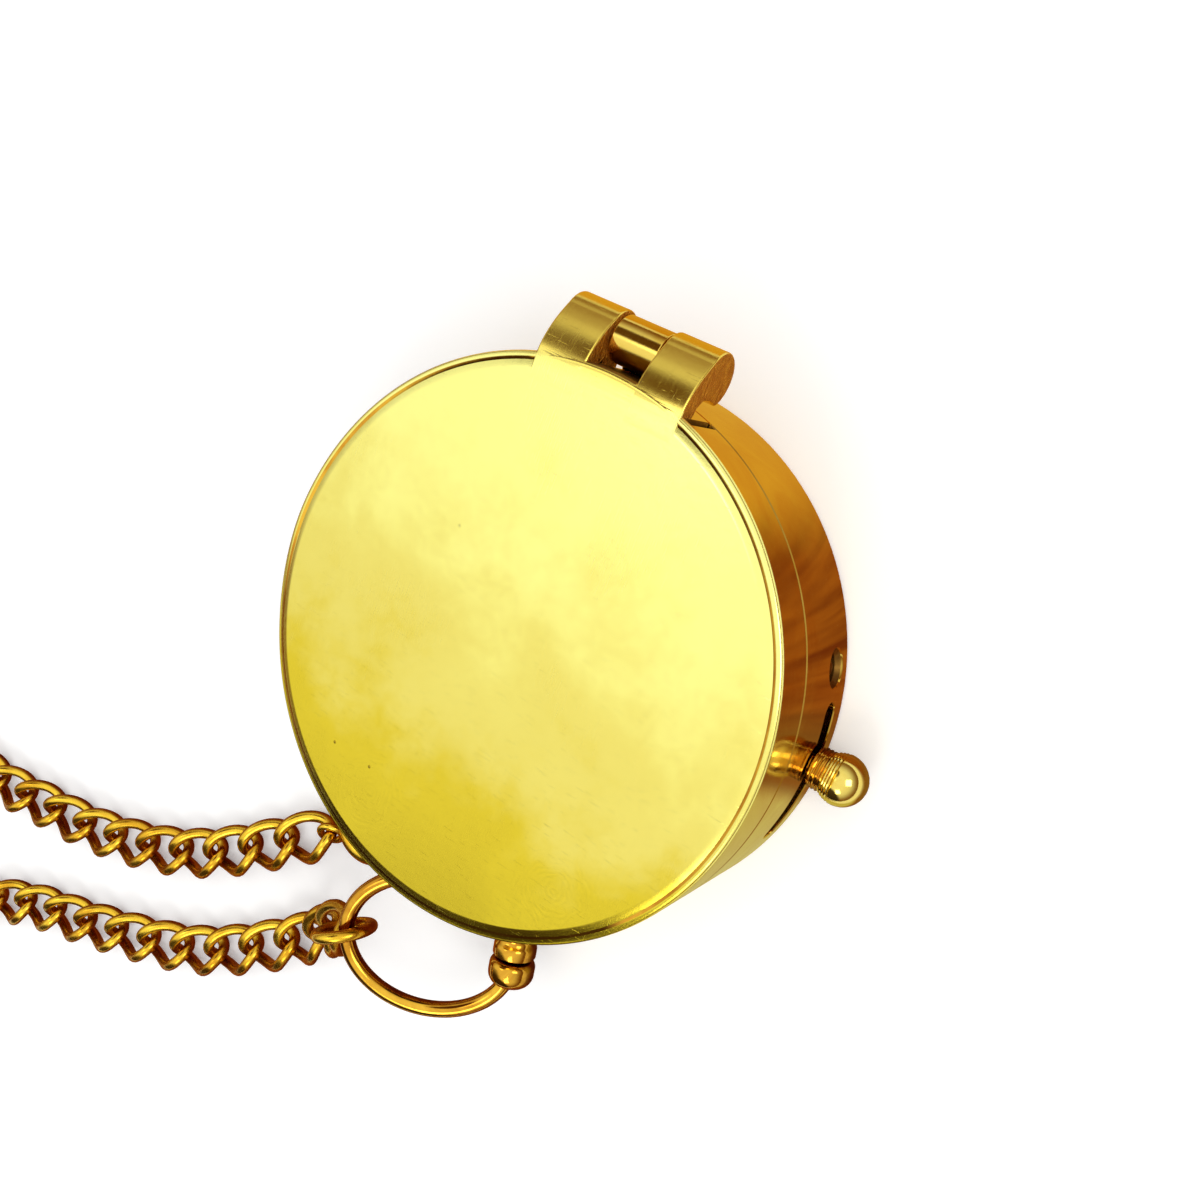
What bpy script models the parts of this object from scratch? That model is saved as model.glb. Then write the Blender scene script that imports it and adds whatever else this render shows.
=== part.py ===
# Pocket magnetic compass in solid brass, closed lid, on a curb chain.
# It lies on its back: the origin is the centre of the case's back face, +Z goes up
# through the lid, the hinge is at +Y and the lock knob comes out of the wall at +X.
import math

import bmesh
import bpy
from mathutils import Euler, Matrix, Vector

mm = 0.001

# Driving dimensions, in metres and degrees
clearance = 0.3 * mm            # between pieces that touch or are fitted
turned_steps = 72               # facets round the large turned pieces
small_steps = 28                # facets round the small turned pieces

case_radius = 38.1 * mm         # a three inch case
case_wall = 3.4 * mm            # below the ledge that carries the dial
case_rim_wall = 2.3 * mm        # above that ledge
case_floor = 2.2 * mm
case_edge = 0.7 * mm            # rounding of the back edge

lid_height = 8.2 * mm
lid_wall = 1.7 * mm
lid_top = 1.6 * mm
lid_edge = 0.45 * mm            # rounding of the lid's outer edge
rim_width = 1.0 * mm            # bright rim outside the turned groove
notch_width = 1.3 * mm          # relief filed in the lid's side next to each ear
notch_depth = 1.0 * mm
groove_width = 0.35 * mm
groove_depth = 0.3 * mm

hinge_radius = 3.6 * mm         # outside of the lid's knuckles
hinge_pin_radius = 1.0 * mm
hinge_standoff = 3.6 * mm       # from the case wall to the pin
hinge_rise = 2.3 * mm           # from the case rim up to the pin
knuckle_width = 6.9 * mm        # the case's knuckle, between the ears
ear_width = 7.15 * mm
ear_root = 3.3 * mm             # how deep the ears grow out of the lid's side
ear_end = 0.6 * mm              # metal that closes the pin's hole at the end of each ear

ledge_depth = 6.5 * mm          # from the case rim down to the ledge that the dial lies on
dial_thickness = 1.0 * mm
dial_hole_radius = 3.4 * mm
chapter_height = 3.4 * mm
chapter_width = 2.0 * mm
glass_thickness = 1.4 * mm
bezel_height = 3.0 * mm
bezel_width = 2.4 * mm
bezel_lip = 0.9 * mm

side_offset = 0.4 * mm          # slot, knob and side screw lie this far above the lock ring's middle
slot_width = 3.6 * mm
slot_start = -16.5              # degrees round the case
slot_end = 14.8
knob_angle = 2.0
knob_shank_radius = 1.5 * mm
knob_collar_radius = 2.9 * mm
knob_collar_length = 2.3 * mm
knob_thread_pitch = 0.55 * mm
knob_ball_radius = 3.7 * mm
screw_angle = 21.6
screw_radius = 1.75 * mm
screw_length = 2.4 * mm
countersink_radius = 2.75 * mm
countersink_depth = 0.9 * mm

lock_ring_width = 3.2 * mm
lock_ring_height = 4.2 * mm
ramp_rise = 1.6 * mm            # how far a ramp climbs along its length
ramp_sweep = 44.0
lifter_arm_width = 3.0 * mm
lifter_arm_thickness = 0.7 * mm
lifter_tube_radius = 2.3 * mm
lifter_bore_radius = 1.5 * mm
lifter_seat = 0.12 * mm         # the lifter rests this much above the ramps' mean height
lifter_room = 1.68 * mm         # between its arms and the dial plate
cap_room = 0.73 * mm            # between its tube and the needle's cap

post_radius = 1.0 * mm
post_foot_radius = 4.0 * mm
post_foot_height = 0.8 * mm
cap_radius = 2.0 * mm
cap_height = 1.9 * mm
cap_flange = 0.9 * mm
cap_play = 0.25 * mm            # between the cap and the glass
cap_crown = 0.55 * mm           # metal above the tip of the post
needle_length = 54.0 * mm
needle_width = 5.6 * mm
needle_thickness = 0.6 * mm

pendant_angle = -76.5
pendant_height = 7.0 * mm
pendant_length = 9.1 * mm
pendant_flange_radius = 3.2 * mm
pendant_core_radius = 1.3 * mm
pendant_head_radius = 2.1 * mm
bead_radius = 3.4 * mm          # the bow's bead, which turns on the pendant's head
bead_length = 4.6 * mm
bead_lip = 1.2 * mm             # the part of the bead that holds the head in
bead_end = 1.4 * mm             # its closed outer end
bow_radius = 12.8 * mm          # half of its width, to the middle of the wire
bow_depth = 10.1 * mm           # half of its depth, away from the case
bow_inset = 1.2 * mm            # its middle is this much nearer the case than the bead's
bow_wire_radius = 1.2 * mm
bow_tilt = 20.0                 # degrees that the bow stands up from level
bow_start = 8.0                 # where the wire leaves the bead, in degrees round the bow
bow_round = 285.0               # up to here the bow is oval, then it passes under the pendant

link_wire_radius = 0.95 * mm
link_pitch = 8.5 * mm
link_width = 9.0 * mm
link_slack = 0.65 * mm          # free play between two links
link_twist = -47.0              # each end of a link is turned this far
link_points = 16
jump_ring_radius = 4.1 * mm

clasp_radius = 5.2 * mm
clasp_tube_radius = 1.45 * mm
clasp_bore_radius = 0.95 * mm
clasp_bolt_radius = 0.6 * mm
clasp_mouth = 46.0              # degrees left open for the bolt
clasp_mouth_at = 60.0
clasp_travel = 40.0             # degrees that the bolt draws back
clasp_loop_radius = 1.85 * mm
clasp_eye_wire = 0.6 * mm

# The chain's route over the table to the clasp: x and y in link pitches from the place
# where it hangs on the bow, and the height in millimetres
link_level = 2.5
chain_route = [
    (-0.63, -0.43, 11.0), (-1.04, -1.09, 5.6), (-1.64, -1.75, 2.8), (-2.33, -2.41, link_level),
    (-4.11, -3.76, link_level), (-6.82, -4.98, link_level), (-8.69, -5.66, link_level),
    (-10.23, -6.49, link_level), (-11.82, -7.59, link_level), (-13.70, -8.48, link_level),
    (-15.64, -7.89, link_level), (-16.47, -6.06, link_level), (-15.53, -4.30, link_level),
    (-13.53, -3.71, link_level), (-11.16, -3.73, link_level), (-9.47, -3.41, link_level),
    (-7.41, -2.96, link_level), (-4.95, -1.90, link_level), (-2.76, -0.21, link_level),
    (-1.76, 0.67, link_level), (-0.88, 1.47, link_level), (0.18, 2.52, link_level),
]
chain_links = 37

brass = (0.80, 0.58, 0.18, 1.0)
chain_brass = (0.76, 0.47, 0.10, 1.0)
dial_white = (0.90, 0.88, 0.80, 1.0)
steel_blue = (0.10, 0.13, 0.32, 1.0)
glass_clear = (0.92, 0.96, 0.96, 1.0)

# Sizes that follow from the ones above
inner_radius = case_radius - case_rim_wall
lower_radius = case_radius - case_wall
lock_ring_z = case_floor + clearance
lock_ring_top = lock_ring_z + lock_ring_height
side_height = (lock_ring_z + lock_ring_top) / 2 + side_offset
lifter_z = lock_ring_top + 0.5 * ramp_rise + clearance + lifter_seat
dial_z = lifter_z + lifter_arm_thickness + lifter_room
ledge_height = dial_z - clearance
hinge_pin_length = knuckle_width + 2 * (ear_width - ear_end)
case_height = ledge_height + ledge_depth
lid_base = case_height + clearance
lid_face = lid_base + lid_height
hinge_y = case_radius + hinge_standoff
hinge_z = case_height + hinge_rise
chapter_z = dial_z + dial_thickness + clearance
glass_z = chapter_z + chapter_height + clearance
bezel_z = glass_z + glass_thickness + clearance
cap_low = glass_z - cap_play - cap_height
post_tip = cap_low + cap_height - cap_crown - clearance
bead_middle = case_radius + clearance + pendant_length + clearance + bead_length / 2
link_length = link_pitch + link_slack + 4 * link_wire_radius


def empty_scene():
    for thing in list(bpy.data.objects):
        bpy.data.objects.remove(thing, do_unlink=True)


def collection_named(name):
    group = bpy.data.collections.new(name)
    bpy.context.scene.collection.children.link(group)
    return group


def material(name, colour, roughness, metallic):
    made = bpy.data.materials.new(name)
    made.use_nodes = True
    shader = made.node_tree.nodes["Principled BSDF"]
    shader.inputs["Base Color"].default_value = colour
    shader.inputs["Roughness"].default_value = roughness
    shader.inputs["Metallic"].default_value = metallic
    return made


def add(name, mesh, finish, smooth=True):
    """Put a mesh in the compass as a named piece."""
    piece = bpy.data.objects.new(name, mesh)
    parts.objects.link(piece)
    mesh.materials.clear()
    mesh.materials.append(finish)
    if smooth:
        mesh.shade_smooth()
        mesh.set_sharp_from_angle(angle=math.radians(32))
    return piece


def cutter(name, mesh):
    tool = bpy.data.objects.new(name, mesh)
    cutters.objects.link(tool)
    tool.hide_render = True
    tool.display_type = "WIRE"
    return tool


def boolean(piece, tool, operation):
    step = piece.modifiers.new(tool.name, "BOOLEAN")
    step.operation = operation
    step.object = tool
    return step


def applied(thing):
    """The mesh that an object's modifiers or bevel give, in its own space."""
    bpy.context.view_layer.update()
    graph = bpy.context.evaluated_depsgraph_get()
    return bpy.data.meshes.new_from_object(thing.evaluated_get(graph))


def turned_mesh(name, profile, steps, sweep=360.0):
    """A closed profile of (radius, height) points, turned about Z with a Screw."""
    mesh = bpy.data.meshes.new(name)
    points = [(radius, 0.0, height) for radius, height in profile]
    on_axis = abs(profile[0][0]) < 1e-9 and abs(profile[-1][0]) < 1e-9
    edges = [(i, i + 1) for i in range(len(points) - 1)]
    if not on_axis:
        edges.append((len(points) - 1, 0))
    mesh.from_pydata(points, edges, [])
    helper = bpy.data.objects.new(name + "_profile", mesh)
    cutters.objects.link(helper)
    screw = helper.modifiers.new("turn", "SCREW")
    screw.axis = "Z"
    screw.angle = math.radians(sweep)
    screw.steps = steps
    screw.render_steps = steps
    screw.use_merge_vertices = True
    screw.merge_threshold = 0.000005
    result = applied(helper)
    bpy.data.objects.remove(helper, do_unlink=True)
    result.name = name
    return result


def arc(centre, radius, start, finish, count):
    """Points on an arc in degrees, both ends included."""
    return [
        (
            centre[0] + radius * math.cos(math.radians(start + (finish - start) * i / count)),
            centre[1] + radius * math.sin(math.radians(start + (finish - start) * i / count)),
        )
        for i in range(count + 1)
    ]


def extruded_mesh(name, outline, thickness):
    """A flat outline as a filled 2D curve, extruded evenly to both sides of its plane."""
    curve = bpy.data.curves.new(name, "CURVE")
    curve.dimensions = "2D"
    curve.fill_mode = "BOTH"
    curve.extrude = thickness / 2
    spline = curve.splines.new("POLY")
    spline.points.add(len(outline) - 1)
    for point, (x, y) in zip(spline.points, outline):
        point.co = (x, y, 0.0, 1.0)
    spline.use_cyclic_u = True
    return welded_curve(name, curve)


def wire_mesh(name, points, radius, closed, resolution=1):
    """A round wire along a polyline."""
    curve = bpy.data.curves.new(name, "CURVE")
    curve.dimensions = "3D"
    curve.bevel_depth = radius
    curve.bevel_resolution = resolution
    curve.use_fill_caps = not closed
    spline = curve.splines.new("POLY")
    spline.points.add(len(points) - 1)
    for point, place in zip(spline.points, points):
        point.co = (*place, 1.0)
    spline.use_cyclic_u = closed
    return welded_curve(name, curve)


def welded_curve(name, curve):
    helper = bpy.data.objects.new(name + "_curve", curve)
    cutters.objects.link(helper)
    mesh = applied(helper)
    bpy.data.objects.remove(helper, do_unlink=True)
    solid = bmesh.new()
    solid.from_mesh(mesh)
    bmesh.ops.remove_doubles(solid, verts=solid.verts, dist=0.000002)
    bmesh.ops.recalc_face_normals(solid, faces=solid.faces)
    solid.to_mesh(mesh)
    solid.free()
    mesh.name = name
    return mesh


def cylinder_mesh(name, radius, depth, steps=small_steps):
    solid = bmesh.new()
    bmesh.ops.create_cone(
        solid, cap_ends=True, segments=steps, radius1=radius, radius2=radius, depth=depth
    )
    mesh = bpy.data.meshes.new(name)
    solid.to_mesh(mesh)
    solid.free()
    return mesh


def box_mesh(name, length, width, height):
    solid = bmesh.new()
    bmesh.ops.create_cube(solid, size=1.0, matrix=Matrix.Diagonal((length, width, height, 1.0)))
    mesh = bpy.data.meshes.new(name)
    solid.to_mesh(mesh)
    solid.free()
    return mesh


def hinge_line():
    """The hinge pin's place, with local Z along the pin."""
    return Matrix.Translation((0, hinge_y, hinge_z)) @ Matrix.Rotation(math.radians(90), 4, "Y")


def around(angle, radius, height):
    """A place on the case by its angle in degrees, radius and height."""
    turn = math.radians(angle)
    return Vector((radius * math.cos(turn), radius * math.sin(turn), height))


def radial_frame(angle, radius, height):
    """Turns local Z to point straight out of the case wall at that angle."""
    return Matrix.Translation(around(angle, radius, height)) @ Matrix.Rotation(
        math.radians(angle), 4, "Z"
    ) @ Matrix.Rotation(math.radians(90), 4, "Y")


def yz_extrusion(name, outline, x_from, x_to):
    """An outline in (y, z), as a slab between two x values."""
    mesh = extruded_mesh(name, outline, x_to - x_from)
    mesh.transform(
        Matrix.Translation(((x_from + x_to) / 2, 0.0, 0.0))
        @ Matrix(((0, 0, 1, 0), (1, 0, 0, 0), (0, 1, 0, 0), (0, 0, 0, 1)))
    )
    return mesh


def curved_slot_mesh(name, radius, depth, height, width, start, finish):
    """A slot cutter that follows the wall, with round ends."""
    half = width / 2
    steps = 16
    end_turn = math.degrees(half / radius)
    outline = []
    for i in range(9):
        turn = math.radians(90 - 180 * i / 8)
        outline.append((finish - end_turn + end_turn * math.cos(turn), height + half * math.sin(turn)))
    for i in range(1, steps):
        share = i / steps
        outline.append((finish - end_turn + (start - finish + 2 * end_turn) * share, height - half))
    for i in range(9):
        turn = math.radians(-90 - 180 * i / 8)
        outline.append((start + end_turn + end_turn * math.cos(turn), height + half * math.sin(turn)))
    for i in range(1, steps):
        share = i / steps
        outline.append((start + end_turn + (finish - start - 2 * end_turn) * share, height + half))
    solid = bmesh.new()
    inner = [solid.verts.new(around(a, radius - depth, z)) for a, z in outline]
    outer = [solid.verts.new(around(a, radius + depth, z)) for a, z in outline]
    count = len(outline)
    for i in range(count):
        j = (i + 1) % count
        solid.faces.new((inner[i], inner[j], outer[j], outer[i]))
    # Quads from the top edge to the bottom edge close both curved sides
    def close(ring):
        left, right = 0, count - 1
        while right - left > 1:
            if (left + (count - 1 - right)) % 2 == 0:
                solid.faces.new((ring[left], ring[left + 1], ring[right]))
                left += 1
            else:
                solid.faces.new((ring[left], ring[right - 1], ring[right]))
                right -= 1
    close(inner)
    close(outer)
    bmesh.ops.recalc_face_normals(solid, faces=solid.faces)
    mesh = bpy.data.meshes.new(name)
    solid.to_mesh(mesh)
    solid.free()
    return mesh


def make_case():
    """The cup: floor, thick lower wall, dial ledge, thinner rim, knuckle, slot and hole."""
    profile = (
        [(0.0, case_floor), (lower_radius, case_floor), (lower_radius, ledge_height),
         (inner_radius, ledge_height), (inner_radius, case_height), (case_radius, case_height)]
        + arc((case_radius - case_edge, case_edge), case_edge, 0, -90, 4)
        + [(0.0, 0.0)]
    )
    piece = add("case_body", turned_mesh("case_body", profile, turned_steps), polished)

    radius = hinge_radius - 0.4 * mm
    knuckle = (
        [(case_radius - 1.1 * mm, case_height - 0.2 * mm),
         (case_radius - 0.1 * mm, case_height - 0.2 * mm)]
        + arc((hinge_y, hinge_z), radius, 216, -48, 20)
        + [(hinge_y - 0.2 * mm, hinge_z - 5.0 * mm), (hinge_y - 2.2 * mm, hinge_z - 7.4 * mm),
           (case_radius - 0.1 * mm, hinge_z - 9.6 * mm), (case_radius - 1.1 * mm, hinge_z - 9.8 * mm)]
    )
    lug = cutter("knuckle_join", yz_extrusion("knuckle", knuckle, -knuckle_width / 2, knuckle_width / 2))
    boolean(piece, lug, "UNION")
    bore = cutter("case_pin_bore", cylinder_mesh("case_pin_bore", hinge_pin_radius + clearance, 40 * mm))
    bore.matrix_world = hinge_line()
    boolean(piece, bore, "DIFFERENCE")

    slot = cutter("knob_slot", curved_slot_mesh(
        "knob_slot", case_radius, case_wall + 1.0 * mm, side_height, slot_width, slot_start, slot_end
    ))
    boolean(piece, slot, "DIFFERENCE")

    sink = [
        (0.0, 1.0 * mm), (countersink_radius + 1.0 * mm, 1.0 * mm),
        (countersink_radius, 0.0), (screw_radius + clearance, -countersink_depth),
        (screw_radius + clearance, -case_wall + 0.6 * mm), (0.0, -case_wall + 0.6 * mm),
    ]
    hole = cutter("screw_hole", turned_mesh("screw_hole", sink, small_steps))
    hole.matrix_world = radial_frame(screw_angle, case_radius, side_height)
    boolean(piece, hole, "DIFFERENCE")

    pocket = cutter(
        "pendant_pocket", cylinder_mesh("pendant_pocket", pendant_core_radius + clearance, 4.0 * mm)
    )
    pocket.matrix_world = radial_frame(pendant_angle, case_radius, pendant_height)
    boolean(piece, pocket, "DIFFERENCE")
    return piece


def ear_outline():
    """One hinge ear in (y, z): it falls from the lid's face to the knuckle, undercut behind it."""
    top = lid_face
    return (
        [(case_radius - ear_root, top - 0.9 * mm), (case_radius - 2.4 * mm, top - 0.25 * mm),
         (case_radius - 1.6 * mm, top + 0.06 * mm), (case_radius - 0.6 * mm, top - 0.02 * mm),
         (case_radius + 0.8 * mm, top - 0.55 * mm), (case_radius + 2.6 * mm, top - 1.5 * mm)]
        + arc((hinge_y, hinge_z), hinge_radius, 64, -150, 22)
        + [(case_radius + 0.85 * mm, hinge_z + 0.2 * mm), (case_radius + 0.75 * mm, top - 4.4 * mm),
           (case_radius - 0.3 * mm, top - 3.4 * mm), (case_radius - 1.2 * mm, top - 3.3 * mm),
           (case_radius - 1.25 * mm, top - 1.2 * mm)]
    )


def make_lid():
    inside = case_radius - lid_wall
    rim_inner = case_radius - rim_width
    profile = (
        [(0.0, lid_face - groove_depth * 0.4),
         (rim_inner - 3.0 * groove_width, lid_face - groove_depth * 0.4),
         (rim_inner - groove_width, lid_face - groove_depth), (rim_inner, lid_face - groove_depth),
         (rim_inner + 0.1 * mm, lid_face)]
        + arc((case_radius - lid_edge, lid_face - lid_edge), lid_edge, 90, 0, 3)
        + [(case_radius, lid_base), (inside, lid_base),
           (inside, lid_face - lid_top), (0.0, lid_face - lid_top)]
    )
    piece = add("lid", turned_mesh("lid", profile, turned_steps), polished)
    inner_x = knuckle_width / 2 + clearance
    for side in (-1, 1):
        span = sorted((side * inner_x, side * (inner_x + ear_width)))
        ear = cutter(f"ear_join_{side}", yz_extrusion("ear", ear_outline(), *span))
        boolean(piece, ear, "UNION")
        notch_x = inner_x + ear_width + notch_width / 2
        wall_y = math.sqrt(case_radius ** 2 - notch_x ** 2)
        notch = cutter(f"notch_{side}", box_mesh(
            "notch", notch_width, 4 * notch_depth, lid_height - notch_width + 1.0 * mm
        ))
        notch.location = (
            side * notch_x, wall_y + notch_depth, (lid_base - 1.0 * mm + lid_face - notch_width) / 2
        )
        boolean(piece, notch, "DIFFERENCE")
    bore = cutter("lid_pin_bore", cylinder_mesh(
        "lid_pin_bore", hinge_pin_radius + clearance, hinge_pin_length + 2 * clearance
    ))
    bore.matrix_world = hinge_line()
    boolean(piece, bore, "DIFFERENCE")
    return piece


def make_hinge_pin():
    pin = cylinder_mesh("hinge_pin", hinge_pin_radius, hinge_pin_length)
    piece = add("hinge_pin", pin, polished)
    piece.location = (0, hinge_y, hinge_z)
    piece.rotation_euler = Euler((0, math.radians(90), 0))
    return piece


def make_ring(name, outer, inner, low, high, finish, steps=turned_steps):
    profile = [(inner, high), (outer, high), (outer, low), (inner, low)]
    return add(name, turned_mesh(name, profile, steps), finish)


def make_dial_side():
    """Dial plate, chapter ring, glass and the bezel ring that holds them down."""
    fitted = inner_radius - clearance
    make_ring("dial_plate", fitted, dial_hole_radius, dial_z, dial_z + dial_thickness, dial_paint)
    chapter_top = chapter_z + chapter_height
    chapter = [
        (fitted - chapter_width, chapter_top), (fitted, chapter_top), (fitted, chapter_z),
        (fitted - chapter_width - 1.2 * mm, chapter_z),
        (fitted - chapter_width - 1.2 * mm, chapter_z + 0.4 * mm),
    ]
    add("chapter_ring", turned_mesh("chapter_ring", chapter, turned_steps), polished)
    pane = [(0.0, glass_z + glass_thickness), (fitted - 0.4 * mm, glass_z + glass_thickness),
            (fitted, glass_z + glass_thickness - 0.4 * mm), (fitted, glass_z), (0.0, glass_z)]
    add("glass", turned_mesh("glass", pane, turned_steps), clear)
    bezel_top = bezel_z + bezel_height
    bezel = [
        (fitted - bezel_width, bezel_z + bezel_lip), (fitted - bezel_width + 0.9 * mm, bezel_top),
        (fitted - 0.4 * mm, bezel_top), (fitted, bezel_top - 0.4 * mm), (fitted, bezel_z),
        (fitted - bezel_width, bezel_z),
    ]
    add("bezel_ring", turned_mesh("bezel_ring", bezel, turned_steps), polished)


def make_pivot():
    """The pivot post on the case floor, the needle that turns on it and the needle's cap."""
    foot = case_floor + clearance
    profile = [
        (0.0, post_tip), (post_radius, post_tip - 1.7 * mm),
        (post_radius, foot + post_foot_height), (post_foot_radius - 0.3 * mm, foot + post_foot_height),
        (post_foot_radius, foot + post_foot_height - 0.3 * mm), (post_foot_radius, foot), (0.0, foot),
    ]
    add("pivot_post", turned_mesh("pivot_post", profile, small_steps), polished)

    cap_top = cap_low + cap_height
    needle_low = cap_low + 0.5 * mm + clearance
    cap = [
        (0.0, cap_top), (cap_radius * 0.55, cap_top), (cap_radius, cap_top - 0.45 * mm),
        (cap_radius, cap_low + 0.5 * mm), (cap_radius + cap_flange, cap_low + 0.5 * mm),
        (cap_radius + cap_flange, cap_low), (post_radius + clearance, cap_low),
        (post_radius * 0.3 + clearance, post_tip - 0.2 * mm), (0.0, post_tip + clearance),
    ]
    add("needle_cap", turned_mesh("needle_cap", cap, small_steps), polished)

    half_length = needle_length / 2
    half_width = needle_width / 2
    outline = [
        (half_length, 0.0), (half_width * 0.55, half_width), (0.0, half_width + 0.6 * mm),
        (-half_width * 0.55, half_width), (-half_length, 0.0), (-half_width * 0.55, -half_width),
        (0.0, -half_width - 0.6 * mm), (half_width * 0.55, -half_width),
    ]
    mesh = extruded_mesh("needle", outline, needle_thickness)
    needle = add("needle", mesh, blued)
    needle.location = (0, 0, needle_low + needle_thickness / 2)
    needle.rotation_euler = Euler((0, 0, math.radians(90)))
    hole = cutter("needle_hole", cylinder_mesh("needle_hole", cap_radius + clearance, 6 * mm))
    hole.location = (0, 0, needle_low)
    boolean(needle, hole, "DIFFERENCE")


def ramp_mesh(name, start, sweep, inner, outer, base, rise):
    """A wedge on the lock ring that climbs with the angle."""
    solid = bmesh.new()
    steps = 8
    columns = []
    for i in range(steps + 1):
        turn = start + sweep * i / steps
        top = base + 0.12 * mm + rise * i / steps
        columns.append([solid.verts.new(around(turn, r, z)) for r, z in
                        ((inner, base - 0.5 * mm), (outer, base - 0.5 * mm), (outer, top), (inner, top))])
    for first, second in zip(columns, columns[1:]):
        for i in range(4):
            j = (i + 1) % 4
            solid.faces.new((first[i], first[j], second[j], second[i]))
    solid.faces.new(columns[0])
    solid.faces.new(columns[-1])
    bmesh.ops.recalc_face_normals(solid, faces=solid.faces)
    mesh = bpy.data.meshes.new(name)
    solid.to_mesh(mesh)
    solid.free()
    return mesh


def make_lock():
    """The ring that the knob turns, with three ramps, and the three-armed lifter that they raise."""
    outer = lower_radius - clearance
    inner = outer - lock_ring_width
    ring = make_ring("lock_ring", outer, inner, lock_ring_z, lock_ring_top, polished)
    for i in range(3):
        start = 60 + 120 * i - ramp_sweep / 2
        wedge = cutter(
            f"ramp_join_{i}",
            ramp_mesh(
                "ramp", start, ramp_sweep, inner + 0.5 * mm, outer - 0.5 * mm, lock_ring_top, ramp_rise
            ),
        )
        boolean(ring, wedge, "UNION")
    hole = cutter("shank_hole", cylinder_mesh("shank_hole", knob_shank_radius + clearance, 12 * mm))
    hole.matrix_world = radial_frame(knob_angle, outer, side_height)
    boolean(ring, hole, "DIFFERENCE")

    low = lifter_z
    tube_top = cap_low - cap_room
    tube = [
        (lifter_bore_radius, tube_top), (lifter_tube_radius, tube_top),
        (lifter_tube_radius, low + lifter_arm_thickness),
        (lifter_tube_radius + 2.2 * mm, low + lifter_arm_thickness),
        (lifter_tube_radius + 2.2 * mm, low), (lifter_bore_radius, low),
    ]
    piece = add("needle_lifter", turned_mesh("needle_lifter", tube, small_steps), polished)
    reach = outer - 1.0 * mm
    for i in range(3):
        arm_outline = [
            (lifter_tube_radius + 0.6 * mm, -lifter_arm_width * 0.8), (reach, -lifter_arm_width / 2),
            (reach, lifter_arm_width / 2), (lifter_tube_radius + 0.6 * mm, lifter_arm_width * 0.8),
        ]
        arm = cutter(f"arm_join_{i}", extruded_mesh("arm", arm_outline, lifter_arm_thickness * 0.9))
        arm.matrix_world = Matrix.Rotation(math.radians(60 + 120 * i), 4, "Z") @ Matrix.Translation(
            (0, 0, low + lifter_arm_thickness / 2)
        )
        boolean(piece, arm, "UNION")


def make_knob():
    """Stem with its screwed collar, fixed in the lock ring through the slot, and its ball end."""
    start = lower_radius - lock_ring_width
    wall = case_radius + clearance
    ball_centre = wall + knob_collar_length + knob_ball_radius - 2.1 * mm
    collar_end = ball_centre - math.sqrt(knob_ball_radius ** 2 - knob_collar_radius ** 2) - clearance
    seat = ball_centre - 0.4 * mm
    profile = [(0.0, start), (0.0 + knob_shank_radius, start), (knob_shank_radius, wall)]
    along = wall
    groove = 0.22 * mm
    profile.append((knob_collar_radius - groove, along))
    turns = max(1, int((collar_end - wall) / knob_thread_pitch))
    pitch = (collar_end - wall) / turns
    for i in range(turns):
        profile.append((knob_collar_radius, along + pitch * 0.5))
        profile.append((knob_collar_radius - groove, along + pitch))
        along += pitch
    profile += [(knob_shank_radius, collar_end), (knob_shank_radius, seat), (0.0, seat)]
    stem = add("knob_stem", turned_mesh("knob_stem", list(reversed(profile)), small_steps), polished)
    stem.matrix_world = radial_frame(knob_angle, 0.0, side_height)

    bore = knob_shank_radius + clearance
    reach = math.degrees(math.asin(knob_collar_radius / knob_ball_radius))
    ball = arc((0.0, ball_centre), knob_ball_radius, 90, -90 + reach, 16)
    ball += [(bore, ball[-1][1]), (bore, seat + clearance), (0.0, seat + clearance)]
    knob = add("knob_ball", turned_mesh("knob_ball", ball, small_steps), polished)
    knob.matrix_world = radial_frame(knob_angle, 0.0, side_height)


def make_side_screw():
    top = -countersink_depth - 0.25 * mm
    foot = top + 1.1 * mm - screw_length
    profile = [(0.0, top + 0.3 * mm), (screw_radius * 0.75, top + 0.2 * mm),
               (screw_radius, top - 0.1 * mm), (screw_radius, foot), (0.0, foot)]
    piece = add("side_screw", turned_mesh("side_screw", profile, small_steps), polished)
    piece.matrix_world = radial_frame(screw_angle, case_radius, side_height)


def bow_frame():
    """Origin where the bow's plane crosses the pendant's axis; X points away to the bow's far side."""
    outward = around(pendant_angle, 1.0, 0.0)
    level = Vector((outward.y, -outward.x, 0.0))
    tilt = math.radians(bow_tilt)
    sideways = level * math.cos(tilt) + Vector((0, 0, 1)) * math.sin(tilt)
    normal = sideways.cross(outward)
    frame = Matrix((sideways, outward, normal)).transposed().to_4x4()
    frame.translation = around(pendant_angle, bead_middle, pendant_height)
    return frame


def bow_point(turn):
    """A point on the oval part of the bow, in its own frame, by its angle from the bead."""
    angle = math.radians(turn)
    return Vector((bow_radius * (1 - math.cos(angle)), bow_depth * math.sin(angle) - bow_inset, 0.0))


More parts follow.
